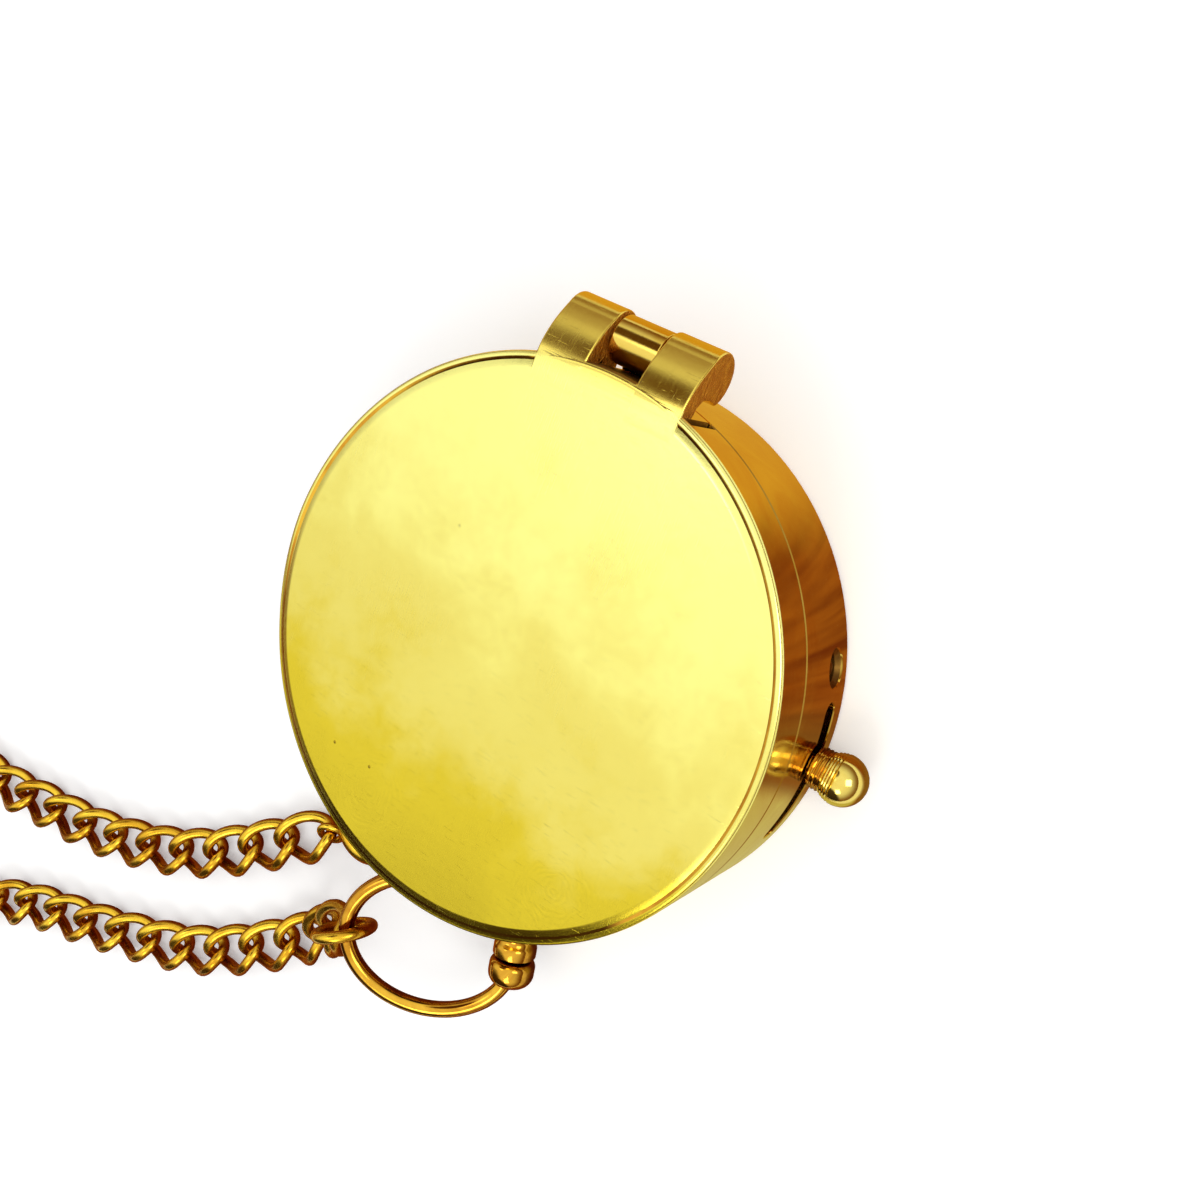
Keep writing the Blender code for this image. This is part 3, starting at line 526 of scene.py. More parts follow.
caseLook = Settings(
    radius=38.1, height=16.5, wall=3.4, rimWall=2.3, floor=2.2, foot=0.7, footFlat=20.0,
    ledge=10.0, lip=0.14, hingeY=41.7, hingeZ=18.8, knuckle=3.2, knuckleWidth=6.9, bore=1.3, boreHalf=20,
    # the lug's foot on the wall, from the hinge's axis
    lugFoot=((-0.2, -5.0), (-2.2, -7.4), (-3.7, -9.6), (-4.7, -9.8)),
    sideHeight=5.0, slotWidth=3.6, slotFrom=-16.5, slotTo=14.8, chamfer=0.16,
    screwAngle=21.6, screwRadius=2.05, sinkRadius=2.75, sinkDepth=0.9,
    pendantAngle=-76.5, pendantHeight=7.0, pendantCore=1.6,
)


def slotCutter(look):
    # Follows the wall, and opens a little at the outside so that the slot's edge is broken
    wall, opened, thick = look.radius, look.chamfer, look.slotWidth / 2
    solid = bmesh.new()
    rings = []
    for out, grow in ((-6.0, 0.0), (-opened, 0.0), (0.02, opened), (3.0, opened)):
        half = thick + grow
        reach = degrees(half / wall)
        start, finish = look.slotFrom + degrees(thick / wall), look.slotTo - degrees(thick / wall)
        outline = []
        for here, there, turn in ((finish, start, 90), (start, finish, -90)):
            turns = map(radians, between(turn, turn - 180, 16))
            outline += [(here + reach * cos(a), half * sin(a)) for a in turns]
            outline += [(a, -half if turn > 0 else half) for a in between(here, there, 24)[1:-1]]
        rings.append([solid.verts.new(around(a, wall + out, look.sideHeight + z)) for a, z in outline])
    for first, second in zip(rings, rings[1:]):
        band(solid, first, second)
    # The two ends are closed in a zigzag, because they are curved
    for ring in (rings[0], rings[-1]):
        zigzag = [corner for pair in zip(ring, reversed(ring)) for corner in pair][:len(ring)]
        for corners in zip(zigzag, zigzag[1:], zigzag[2:]):
            solid.faces.new(corners)
    return closedMesh(solid)


def makeCase(look):
    edge, top, lip, floor, ledge = (look[key] for key in ("radius", "height", "lip", "floor", "ledge"))
    lower, upper = edge - look.wall, edge - look.rimWall
    profile = [(0, floor), (lower - 1.0, floor), (lower, floor + 1.0), (lower, ledge), (upper, ledge),
               (upper, top - lip), (upper + lip, top), (edge - lip, top), (edge, top - lip)]
    profile += arc((edge - look.foot, look.foot), look.foot, 0, -90, 8) + [(look.footFlat, 0), (0, 0)]
    y, z, half = look.hingeY, look.hingeZ, look.knuckleWidth / 2
    lug = [(edge - 1.1, top - 0.2), (edge - 0.1, top - 0.2)] + arc((y, z), look.knuckle, 216, -48, 48)
    lug += [(y + out, z + up) for out, up in look.lugFoot]
    sink, inside = look.sinkRadius, 0.6 - look.wall
    hole = [(0, 1.0), (sink + 1.2, 1.0), (sink, -0.05), (sink - 0.16, -0.25),
            (look.screwRadius, -look.sinkDepth), (look.screwRadius, inside), (0, inside)]
    mesh = cutAndJoined(turned(profile), [
        ("UNION", slab(lug, -half, half, 0.22, toX)),
        ("DIFFERENCE", turned(rod(look.bore, -look.boreHalf, look.boreHalf), small, hingeFrame(look))),
        ("DIFFERENCE", slotCutter(look)),
        ("DIFFERENCE", turned(hole, small, radialFrame(look.screwAngle, edge, look.sideHeight))),
        ("DIFFERENCE", turned(rod(look.pendantCore, -2, 2), small,
                              radialFrame(look.pendantAngle, edge, look.pendantHeight)))])
    shell = place("caseShell", mesh, golden, "case", ["case_body"]).data
    # Painted shade: the screw's hole is darkened inside
    shell.materials.append(paintedShade)
    axis = around(look.screwAngle, 1.0, 0.0).normalized()
    for part in shell.polygons:
        centre = part.center / mm - Vector((0, 0, look.sideHeight))
        along = centre.dot(axis)
        if 30.0 < along < edge - 0.3 and (centre - axis * along).length < sink - 0.1:
            part.material_index = 1
    trueNormals(shell, edge, (0.0, top))


makeCase(caseLook)
print("case turned, knuckle and slot made")


lidShape = Settings(
    radius=38.1, base=16.8, face=25.0, wall=1.7, top=1.6, lip=0.14,
    # radius, height over the face, and height where worn
    rim=((35.90, 0.0, 0.0), (36.15, -0.03, -0.05), (36.45, -0.09, -0.15), (36.75, -0.16, -0.27),
         (36.90, -0.20, -0.33), (37.30, -0.01, -0.49), (37.50, 0.0, -0.57), (37.70, -0.03, -0.65),
         (37.85, -0.11, -0.655),
         (37.95, -0.19, -0.66), (38.04, -0.34, -0.69), (38.10, -0.60, -0.80)),
    wornAt=-105.0, wornFrom=0.15, wornOver=0.45, groove=37.1,
    hingeY=41.7, hingeZ=18.8, knuckle=3.6, pin=1.0, pinHalf=10.0, bore=1.3, boreHalf=10.3,
    earWidth=7.15, earFrom=3.75, earBevel=0.3, webWidth=2.6,
    # outlines from the side: y, and height over the face
    crest=((31.2, -0.45), (32.4, -0.08), (33.4, 0.01), (35.0, 0.015), (36.3, -0.01), (37.6, -0.12),
           (38.9, -0.45), (40.2, -0.97), (41.5, -1.66), (42.6, -2.4)),
    root=((38.95, -6.0), (38.85, -4.4), (37.8, -3.4), (36.9, -3.3), (33.6, -1.9), (31.2, -1.2)),
    web=((37.4, -4.0), (39.4, -4.0), (39.4, -6.2), (38.7, -7.7), (38.0, -7.7), (37.4, -7.4)),
    bridge=((31.6, -0.5), (32.6, -0.1), (33.6, 0), (35.2, 0.005), (36.3, -0.02), (37.3, -0.1),
            (37.75, -0.22), (37.9, -0.45), (37.9, -2.2), (31.6, -1.2)),
    notch=(10.9, 12.2), notchFrom=35.31, notchTo=39.31, notchLow=15.8, notchTop=24.3,
)


def earOutline(look):
    hinge = look.hingeY, look.hingeZ
    crest = [(y, look.face + z) for y, z in look.crest] + arc(hinge, look.knuckle, 60, 60, 1)[:1]
    crest = throughPoints([Vector(p) for p in crest], 6)
    return ([tuple(p) for p in crest] + arc(hinge, look.knuckle, 56, -150, 56)
            + [(y, look.face + z) for y, z in look.root])


def wearRim(mesh, look):
    # On the side of the bow the groove is worn away and the rim polished to a slope
    heights = {round(radius, 2): (fresh, worn) for radius, fresh, worn in look.rim}
    for vertex in mesh.vertices:
        x, y, z = vertex.co / mm
        found = heights.get(round(hypot(x, y), 2))
        if found and z > look.face - 1.0:
            facing = cos(atan2(y, x) - radians(look.wornAt))
            share = min(1.0, max(0.0, (facing - look.wornFrom) / look.wornOver))
            share = share * share * (3 - 2 * share)
            vertex.co.z = (look.face + found[0] + (found[1] - found[0]) * share) * mm


def makeLid(look):
    edge, face, lip, base = look.radius, look.face, look.lip, look.base
    inside, under, ear = edge - look.wall, face - look.top, look.earFrom
    # The top droops to a fine groove inside the rim
    profile = [(0, face), (12.0, face), (24.0, face), (34.4, face)]
    profile += [(radius, face + fresh) for radius, fresh, worn in look.rim]
    profile += [(edge, base + lip), (edge - lip, base), (inside + lip, base), (inside, base + lip)]
    profile += arc((inside - 1.0, under - 1.0), 1.0, 0, 90, 5) + [(0, under)]
    web, bridge = ([(y, face + z) for y, z in look[key]] for key in ("web", "bridge"))
    steps = []
    for side in (-1, 1):
        for outline, width, bevel in ((earOutline(look), look.earWidth, look.earBevel),
                                      (web, look.webWidth, 0.0)):
            steps.append(("UNION", slab(outline, *sorted((side * ear, side * (ear + width))), bevel, toX)))
    # The top runs on between the ears up to the gap over the case's knuckle
    steps.append(("UNION", slab(bridge, -ear - 1.0, ear + 1.0, 0.0, toX)))
    bore = turned(rod(look.bore, -look.boreHalf, look.boreHalf), small, hingeFrame(look))
    steps.append(("DIFFERENCE", bore))
    for side in (-1, 1):
        near, far = sorted(side * x for x in look.notch)
        low, high = look.notchFrom, look.notchTo
        steps.append(("DIFFERENCE", slab([(near, low), (far, low), (far, high), (near, high)],
                                         look.notchLow, look.notchTop)))
    plain = turned(profile)
    wearRim(plain, look)
    mesh = place("lidShell", cutAndJoined(plain, steps), golden, "lid", ["lid"]).data
    for material in (lidFace, filed, paintedShade, wireBrass):
        mesh.materials.append(material)
    earEnd = ear + look.earWidth
    for part in mesh.polygons:
        centre = part.center / mm
        reach, across = hypot(centre.x, centre.y), abs(centre.x)
        onTop = centre.z > face - 1.0
        onEar = centre.y > 34.0 and across < earEnd + 0.1 and centre.z > look.hingeZ
        if part.normal.z > 0.2 and (onTop or onEar):
            part.material_index = 1
        if onTop and abs(reach - look.groove) < 0.15 and not onEar:
            part.material_index = 4
        if abs(part.normal.x) > 0.9 and centre.y > edge - 1.0:
            part.material_index = 2
        # Painted shade: the faces in the notches and by the knuckle take the dark brass
        inNotch = earEnd - 0.1 < across < look.notch[1] + 0.1 and centre.y > 35.2 and reach < edge - 0.05
        byKnuckle = across < ear and centre.y > edge - 0.6 and part.normal.y > 0.5
        if byKnuckle or (inNotch and centre.z < look.notchTop + 0.1):
            part.material_index = 3
    trueNormals(mesh, edge, (face, base))
    pin = softened(rod(look.pin, -look.pinHalf, look.pinHalf), 0.3)
    place("hingePin", turned(pin, small, hingeFrame(look)), inner, "case", ["hinge_pin"])


makeLid(lidShape)
print("lid turned, ears joined")


def newTree(name, output, **kinds):
    # kinds: the names of the inputs, by the kind of their sockets
    tree = bpy.data.node_groups.new(name, "GeometryNodeTree")
    for kind, titles in kinds.items():
        for title in titles:
            tree.interface.new_socket(name=title, in_out="INPUT", socket_type="NodeSocket" + kind)
    tree.interface.new_socket(name=output, in_out="OUTPUT", socket_type="NodeSocketGeometry")
    return tree, addNode(tree, "NodeGroupInput").outputs


def closeTree(tree, geometry, material):
    real = shape(tree, "RealizeInstances", {"Geometry": geometry})
    done = shape(tree, "SetMaterial", {"Geometry": real, "Material": material})
    addNode(tree, "NodeGroupOutput", {0: done})
    return tree


def grown(tree, values, mesh=None):
    # Runs a geometry tree with its named inputs and gives the plain mesh
    holder = linked("grown", mesh or bpy.data.meshes.new("empty"))
    step = holder.modifiers.new("grown", "NODES")
    step.node_group = tree
    for item in tree.interface.items_tree:
        if item.in_out == "INPUT" and item.name in values:
            step[item.identifier] = values[item.name]
    return taken(holder)


dialLook = Settings(
    fitted=35.5, plateLow=10.3, plateTop=11.3, hole=3.4, chapterLow=11.6, chapterTop=15.0, chapterWidth=2.0,
    chapterFoot=1.2, glassLow=15.3, glassTop=16.7, glassEdge=0.4, bezelLow=17.0, bezelTop=20.0,
    bezelWidth=2.4, bezelLip=0.9, ink=0.05, markEnd=31.6,
    ticks=((180, 1.1, 0.14), (72, 1.9, 0.2), (24, 2.9, 0.34)),  # count, length, width
    circles=((32.0, 0.18), (28.3, 0.14), (18.0, 0.14), (17.4, 0.14)),  # radius, width
    numberRadius=25.4, numberSize=2.7, letterRadius=23.0, letterSize=5.4,
    # The rose's points run long, short, middling, short
    roseReach=(16.8, 8.4, 12.096, 8.4), roseDrop=(0.0, 0.024, 0.012, 0.024), roseRoot=4.6, roseHeart=3.6,
)


def makeMarksTree():
    tree, given = newTree("dialMarks", "Marks", Int=["Count"], Material=["Ink"],
                          Float=["Outer radius", "Length", "Width", "Depth", "Height"])
    middle = compute("SUBTRACT", given["Outer radius"], times(given["Length"], 0.5))
    ring = shape(tree, "MeshCircle", {"Vertices": given["Count"], "Radius": middle})
    size = shade(tree, "CombineXYZ", {0: given["Length"], 1: given["Width"], 2: given["Depth"]})[0]
    where = shape(tree, "InputPosition")
    turn = addNode(tree, "FunctionNodeAlignRotationToVector", {"Vector": where}, axis="X")
    bars = shape(tree, "InstanceOnPoints", {
        "Points": ring, "Instance": shape(tree, "MeshCube", {"Size": size}), "Rotation": turn.outputs[0]})
    lift = shade(tree, "CombineXYZ", {2: given["Height"]})[0]
    raised = shape(tree, "TranslateInstances", {
        "Instances": bars, "Translation": lift, "Local Space": False})
    return closeTree(tree, raised, given["Ink"])


def flatText(text, size, angle, radius, look):
    words = bpy.data.curves.new("mark", "FONT")
    words.body = text
    words.size = size * mm
    words.align_x = words.align_y = "CENTER"
    words.extrude = look.ink * mm
    words.resolution_u = 4
    mesh = taken(linked("mark", words))
    mesh.transform(Matrix.Translation(around(angle, radius, look.plateTop)) @ turnBy(angle - 90, "Z"))
    return mesh


def makeDial(look):
    fitted, top = look.fitted, look.plateTop
    plate = softened([(look.hole, look.plateLow), (fitted, look.plateLow), (fitted, top),
                      (look.hole, top)], 0.12)
    place("dialPlate", turned(plate), enamel, "case", ["dial_plate"])
    edge, foot, low = fitted - look.chapterWidth, look.chapterFoot, look.chapterLow
    chapter = softened([(edge, look.chapterTop), (fitted, look.chapterTop), (fitted, low),
                        (edge - foot, low), (edge - foot, low + 0.4)], 0.12)
    place("chapterRing", turned(chapter), polished, "case", ["chapter_ring"])
    pane = [(0, look.glassTop), (fitted - look.glassEdge, look.glassTop),
            (fitted, look.glassTop - look.glassEdge), (fitted, look.glassLow), (0, look.glassLow)]
    glass = place("glassPane", turned(pane), clear, "case", ["glass"])
    glass.visible_shadow = False
    edge, lip, low, high = fitted - look.bezelWidth, look.bezelLip, look.bezelLow, look.bezelTop
    bezel = [(edge, low + lip), (edge + lip, high), (fitted, high), (fitted, low), (edge, low)]
    place("bezelRing", turned(softened(bezel, 0.25)), polished, "case", ["bezel_ring"])

    tree = makeMarksTree()
    marks = [grown(tree, {"Count": count, "Outer radius": look.markEnd * mm, "Length": length * mm,
                          "Width": thick * mm, "Depth": 2 * look.ink * mm, "Height": top * mm, "Ink": ink})
             for count, length, thick in look.ticks]
    low, high = top - 0.03, top + look.ink
    for radius, thick in look.circles:
        marks.append(turned([(radius, low), (radius + thick, low), (radius + thick, high), (radius, high)]))
    for i in range(12):
        if i % 3:
            marks.append(flatText(str(30 * i), look.numberSize, 90 - 30 * i, look.numberRadius, look))
    for text, angle in (("N", 90), ("E", 0), ("S", -90), ("W", 180)):
        marks.append(flatText(text, look.letterSize, angle, look.letterRadius, look))
    place("dialMarks", joined(marks), ink, "case", even=False)

    for side, name, material in ((-1, "roseDark", ink), (1, "roseLight", rust)):
        points = []
        for i in range(16):
            angle, reach, drop = 90 - 22.5 * i, look.roseReach[i % 4], look.roseDrop[i % 4]
            corners = ((angle, look.roseHeart), (angle, reach), (angle + side * 11.25, look.roseRoot))
            points.append(slab([(around(*c, 0) / mm).xy for c in corners], low, high - drop))
        place(name, joined(points), material, "case", even=False)


needleLook = Settings(
    post=((0, 14.2), (1.0, 12.5), (1.0, 3.3), (3.7, 3.3), (4.0, 3.0), (4.0, 2.5), (0, 2.5)),
    cap=((0, 15.05), (0.5, 15.0), (1.1, 14.95), (1.6, 14.78), (2.0, 14.5), (2.0, 13.65), (2.9, 13.65),
         (2.9, 13.15), (1.3, 13.15), (0.6, 14.0), (0, 14.5)),
    blade=((3.1, 0.0), (2.9, 1.6), (1.5, 3.6), (0.0, 27.0), (-1.5, 3.6), (-2.9, 1.6), (-3.1, 0.0)),
    ring=2.3, low=13.95, high=14.3, ridge=14.55, ridgeAt=2.6,
)


def makeNeedle(look):
    place("pivotPost", turned(look.post, small), inner, "case", ["pivot_post"])
    place("needleCap", turned(look.cap, small), polished, "needle", ["needle_cap"])
    # Two leaves that rise to a ridge at the cap, the north one blued
    outline = list(look.blade) + arc((0.0, 0.0), look.ring, 180, 0, 12)
    for name, turn, material, slot in (("needleNorth", 0, blued, "blued_steel"),
                                       ("needleSouth", 180, polished, "polished_brass")):
        solid = bmesh.new()
        bottom, edge = level(solid, outline, look.low), level(solid, outline, look.high)
        crest = solid.verts.new((0, look.ridgeAt * mm, look.ridge * mm))
        solid.faces.new(bottom)
        band(solid, bottom, edge)
        for i in range(len(edge)):
            solid.faces.new((edge[i - 1], edge[i], crest))
        place(name, closedMesh(solid, turnBy(turn, "Z")), material, "needle", ["needle"], angle=20)


makeDial(dialLook)
makeNeedle(needleLook)
for name in ("lock_ring", "needle_lifter"):
    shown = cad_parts[name]
    shown.data.materials.clear()
    shown.data.materials.append(inner)
print("dial, glass and needle made")


knobLook = Settings(
    angle=2.0, start=31.5, wall=38.4, shank=1.5, collar=2.9, collarEnd=40.7, undercut=0.2, threadPitch=0.55,
    threadWire=0.17, ball=3.5, ballCentre=42.25, seat=41.9, play=0.3,
    groovesFrom=0.3, groovesTo=2.4, groovePitch=0.42, grooveDepth=0.11,
)


def makeThreadTree():
    tree, given = newTree("screwThread", "Thread", Float=["Radius", "Turns", "Height", "Ridge"],
                          Material=["Metal"])
    helix = shape(tree, "CurveSpiral", {
        "Resolution": 48, "Rotations": given["Turns"], "Start Radius": given["Radius"],
        "End Radius": given["Radius"], "Height": given["Height"]})
    ridge = shape(tree, "CurvePrimitiveCircle", {"Resolution": 8, "Radius": given["Ridge"]})
    body = shape(tree, "CurveToMesh", {"Curve": helix, "Profile Curve": ridge, "Fill Caps": True})
    return closeTree(tree, body, given["Metal"])


def makeKnob(look):
    base = radialFrame(look.angle, 0.0, caseLook.sideHeight)
    shank, wall, seat, wire = look.shank, look.wall, look.seat, look.threadWire
    groove, end = look.collar - look.undercut, look.collarEnd
    stem = softened([(0, look.start), (shank, look.start), (shank, wall), (groove, wall), (groove, end),
                     (shank, end), (shank, seat), (0, seat)], 0.12)
    length = end - wall - 2 * wire
    thread = grown(makeThreadTree(), {
        "Radius": (look.collar - wire) * mm, "Turns": length / look.threadPitch,
        "Height": length * mm, "Ridge": wire * mm, "Metal": wireBrass})
    thread.transform(base @ moved(0, 0, wall + wire))
    # Painted shade: the stem takes the darker bow brass with its shaded lower sides, so that it reads
    # darker than the ball
    place("knobStem", joined([turned(stem, small, base), thread]), wireBrass, "lock", ["knob_stem"])
    reach = degrees(asin(look.collar / look.ball))
    ball = arc((0, look.ballCentre), look.ball, 90, -90 + reach, 90)
    # Fine grooves left by the lathe on the ball's shoulder
    for i, (radius, height) in enumerate(ball):
        back = look.ballCentre - height
        if look.groovesFrom < back < look.groovesTo:
            wave = sin(pi * (back - look.groovesFrom) / look.groovePitch)
            ball[i] = (radius - look.grooveDepth * wave ** 2, height)
    bore, (radius, height) = shank + look.play, ball[-1]
    ball += [(radius - 0.1, height - 0.06), (bore + 0.1, height - 0.06), (bore, height + 0.05),
             (bore, seat + look.play), (0, seat + look.play)]
    place("knobBall", turned(ball, small * 2, base), polished, "lock", ["knob_ball"])


screwLook = Settings(centre=-2.5, dome=1.9, domeEnd=22, skirt=1.75, under=-2.45)


def makeSideScrew(look):
    head = arc((0, look.centre), look.dome, 90, look.domeEnd, 12)
    head += [(look.skirt, look.under), (0, look.under)]
    base = radialFrame(caseLook.screwAngle, caseLook.radius, caseLook.sideHeight)
    # Painted shade: the recessed screw head takes the dark brass
    place("sideScrew", turned(head, small, base), paintedShade, "case", ["side_screw"])


makeKnob(knobLook)
makeSideScrew(screwLook)
print("knob and side screw made")


bowLook = Settings(
    length=9.1, flange=3.2, core=1.3, head=2.1, sunk=1.6, proud=0.3,
    beadMiddle=50.1, beadRadius=3.4, beadLength=4.3, beadLip=1.05, beadEnd=1.3, beadRound=2.1, beadFoot=1.1,
    play=0.3, radius=12.8, depth=10.1, inset=1.2, wire=1.2, tilt=20.0, start=8.0, finish=285.0,
    # the wire's way under the bead: across, outward from the bead in mm, and up
    tail=((1.36, -8.2, -0.10), (0.92, -6.6, -0.50), (0.52, -4.8, -0.90), (0.20, -2.7, -1.02),
          (0.05, -0.9, -1.04)),
    tailEnd=(1.4, 3.0),
)


def bowFrame(look):
    outward = around(caseLook.pendantAngle, 1.0, 0.0).normalized()
    tilt = radians(look.tilt)
    sideways = outward.cross(up) * cos(tilt) + up * sin(tilt)
    made = columns(sideways, outward, sideways.cross(outward))
    made.translation = around(caseLook.pendantAngle, look.beadMiddle, caseLook.pendantHeight)
    return made


def bowPoints(look, count):
    return [Vector((look.radius * (1 - cos(a)), look.depth * sin(a) - look.inset, 0.0)) * mm
            for a in map(radians, between(look.start, look.finish, count))]


def makeBow(look):
    flange = look.proud + look.length
    middle = look.beadMiddle - caseLook.radius
    half, lip = look.beadLength / 2, look.play
    headEnd, headStart = middle + half - look.beadEnd - lip, middle - half + look.beadLip + lip
    big, waist, core, head = look.flange, look.flange - 0.5, look.core, look.head
    post = [(0, -look.sunk), (core, -look.sunk), (core, look.proud), (big, look.proud)]
    post += [(big, 0.60 * flange), (waist + 0.12, 0.66 * flange), (waist, 0.71 * flange),
             (waist + 0.12, 0.76 * flange), (big, 0.82 * flange), (big, flange), (core, flange),
             (core, headStart), (head, headStart), (head, headEnd), (0, headEnd)]
    pendant = radialFrame(caseLook.pendantAngle, caseLook.radius, caseLook.pendantHeight)
    post = turned(softened(post, 0.3), small * 2, pendant)
    place("pendantPost", post, wireBrass, "case", ["pendant_post"])

    base = bowFrame(look)
    under = (look.flange + look.wire + 0.3) * mm
    beside = (look.beadRadius + 0.45 * look.wire) * mm
    tail = bowPoints(look, 36)[-2:]
    tail += [Vector((x * under, (y - half) * mm, z * under)) for x, y, z in look.tail]
    tail += [Vector((0.0, (y - half) * mm, -beside)) for y in look.tailEnd]
    path = bowPoints(look, 144)[:-1] + throughPoints(tail, 12)[12:-12]
    wire = pipe([base @ p for p in path], look.wire * mm, sides=28)
    outline = [(0, half)]
    for soft, start, finish in ((look.beadRound, 90, 0), (look.beadFoot, 0, -90)):
        end = half - soft if start else soft - half
        outline += arc((look.beadRadius - soft, end), soft, start, finish, 8)
    core, head = core + lip, head + lip
    outline += [(core + 0.15, -half), (core, 0.15 - half), (core, look.beadLip - half),
                (head, look.beadLip - half), (head, half - look.beadEnd), (0, half - look.beadEnd)]
    bead = turned(outline, small * 2, base @ turnBy(-90, "X"))
    place("bowWire", joined([wire, bead]), wireBrass, "bow", ["bow"])


makeBow(bowLook)
print("pendant and bow made")


chainLook = Settings(
    wire=0.95, pitch=8.5, width=9.0, slack=0.65, twist=-47.0, count=37, ringRadius=4.1, around=56, sides=14,
    groups=(("chain_start", 1, 4), ("chain_run_1", 5, 9), ("chain_run_2", 10, 15), ("chain_run_3", 16, 30),
            ("chain_run_4", 31, 34), ("chain_end", 35, 37)),  # body, first and last link
)


def makeLinkTree():
    # Every vertex of the places mesh gets a link: an oval of wire, its ends twisted against each other
    tree, given = newTree("curbLinks", "Links", Geometry=["Places"], Int=["Points", "Sides"],
                          Float=["Wire radius", "Half length", "Half width", "Twist"], Material=["Metal"])
    oval = shape(tree, "CurvePrimitiveCircle", {"Resolution": given["Points"], "Radius": 1.0})
    point = split(shape(tree, "InputPosition"))
    across, turn = times(point[1], given["Half width"]), times(point[0], given["Twist"])
    twisted = shade(tree, "CombineXYZ", {
        0: times(point[0], given["Half length"]), 1: times(across, compute("COSINE", turn)),
        2: times(across, compute("SINE", turn))})[0]
    bent = shape(tree, "SetPosition", {"Geometry": oval, "Position": twisted})
    wire = shape(tree, "CurvePrimitiveCircle", {
        "Resolution": given["Sides"], "Radius": given["Wire radius"]})
    link = shape(tree, "CurveToMesh", {"Curve": bent, "Profile Curve": wire})
    lay = shape(tree, "InputNamedAttribute", {"Name": "lay"}, data_type="FLOAT_VECTOR")
    facing = addNode(tree, "FunctionNodeEulerToRotation", {0: lay}).outputs[0]
    laid = shape(tree, "InstanceOnPoints", {
        "Points": given["Places"], "Instance": link, "Rotation": facing})
    return closeTree(tree, laid, given["Metal"])


def nodeAxes(name):
    # Middle, long axis and thin axis of a CAD piece, from its points
    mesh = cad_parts[name].data
    points = numpy.empty(len(mesh.vertices) * 3)
    mesh.vertices.foreach_get("co", points)
    points = points.reshape(-1, 3)
    middle = points.mean(0)
    axes = numpy.linalg.eigh(numpy.cov((points - middle).T))[1]
    return Vector(middle), Vector(axes[:, 2]), Vector(axes[:, 0])


def layChain(look):
    tree = makeLinkTree()
    names = [f"chain_link_{i:02d}" for i in range(1, look.count + 1)]
    found = [nodeAxes(name) for name in names]
    middles = [f[0] for f in found]
    lays = []
    for i, (middle, axis, _) in enumerate(found):
        onward = middles[i + 1] - middle if i + 1 < len(middles) else middle - middles[i - 1]
        forward = axis if axis.dot(onward) > 0 else -axis
        side = up.cross(forward).normalized()
        lays.append(columns(forward, side, forward.cross(side)).to_euler())
    values = {
        "Wire radius": look.wire * mm, "Half length": ((look.pitch + look.slack) / 2 + look.wire) * mm,
        "Half width": (look.width / 2 - look.wire) * mm, "Twist": radians(look.twist),
        "Points": look.around, "Sides": look.sides, "Metal": satin}
    for body, first, last in look.groups:
        here = range(first - 1, last)
        places = bpy.data.meshes.new("places")
        places.from_pydata([middles[i] for i in here], [], [])
        lay = places.attributes.new("lay", "FLOAT_VECTOR", "POINT")
        lay.data.foreach_set("vector", [value for i in here for value in lays[i]])
        name = "links" + "".join(word.title() for word in body.split("_"))
        links = grown(tree, values, places)
        place(name, links, satin, body, names[first - 1:last], even=False)


def hoop(middle, across, other, radius, wire, count, sides):
    points = [middle + (across * cos(a) + other * sin(a)) * radius * mm for a in circle(count)]
    return pipe(points, wire * mm, True, sides)


def makeJumpRing(look):
    middle, _, normal = nodeAxes("jump_ring")
    across = normal.orthogonal().normalized()
    ring = hoop(middle, across, normal.cross(across), look.ringRadius, look.wire, 72, 16)
    place("jumpRing", ring, satin, "chain_start", ["jump_ring"], even=False)


claspLook = Settings(
    place=(-22.770, -45.892, 1.65), heading=(0.762877, 0.646544), radius=5.2, tube=1.45, bore=0.95,
    bolt=0.6, mouth=46.0, mouthAt=60.0, travel=40.0,
    eyeRadius=1.85, eyeWire=0.6, eyeLift=0.85, eyeTurn=-47.0, eyeOut=0.9,
    studAt=6, studOut=1.25, studRadius=0.32, studHalf=1.0, slitOut=1.3,
)


def ringPart(radius, tube, start, finish):
    count = max(8, int(abs(finish - start) / 4))
    return pipe([around(a, radius, 0) for a in between(start, finish, count)], tube * mm, sides=20)


def makeClasp(look):
    flat = Vector((*look.heading, 0.0))
    base = moved(*look.place) @ columns(flat, up.cross(flat), up)
    radius, tube, travel = look.radius, look.tube, look.travel
    edge = look.mouthAt - look.mouth / 2
    eye = hoop(Vector(), Vector((1, 0, 0)), up, look.eyeRadius, look.eyeWire, 32, 14)
    reach = radius + look.eyeRadius + look.eyeOut
    eye.transform(moved(-reach, 0, look.eyeLift) @ turnBy(look.eyeTurn, "X"))
    # The bolt's channel runs on inside the tube, and its stud looks out of a slit
    channel = ringPart(radius, look.bore, edge + 3, edge - travel - 50)
    slit = ringPart(radius + look.slitOut, look.bore, edge + 3, edge - look.studAt - travel - 8)
    mesh = cutAndJoined(ringPart(radius, tube, edge + look.mouth, edge + 360),
                        [("UNION", eye), ("DIFFERENCE", channel), ("DIFFERENCE", slit)])
    mesh.transform(base)
    place("claspBody", mesh, satin, "chain_end", ["clasp_body"])
    bolt = ringPart(radius, look.bolt, edge + look.mouth - 3, edge - 44)
    stud = turned(softened(rod(look.studRadius, -look.studHalf, look.studHalf), 0.12), 24,
                  radialFrame(edge - look.studAt, radius + look.studOut, 0.0))
    both = joined([bolt, stud])
    both.transform(base)
    place("claspBolt", both, satin, "clasp_bolt", ["clasp_bolt"], even=False)


layChain(chainLook)
makeJumpRing(chainLook)
makeClasp(claspLook)
print("chain laid, clasp made")


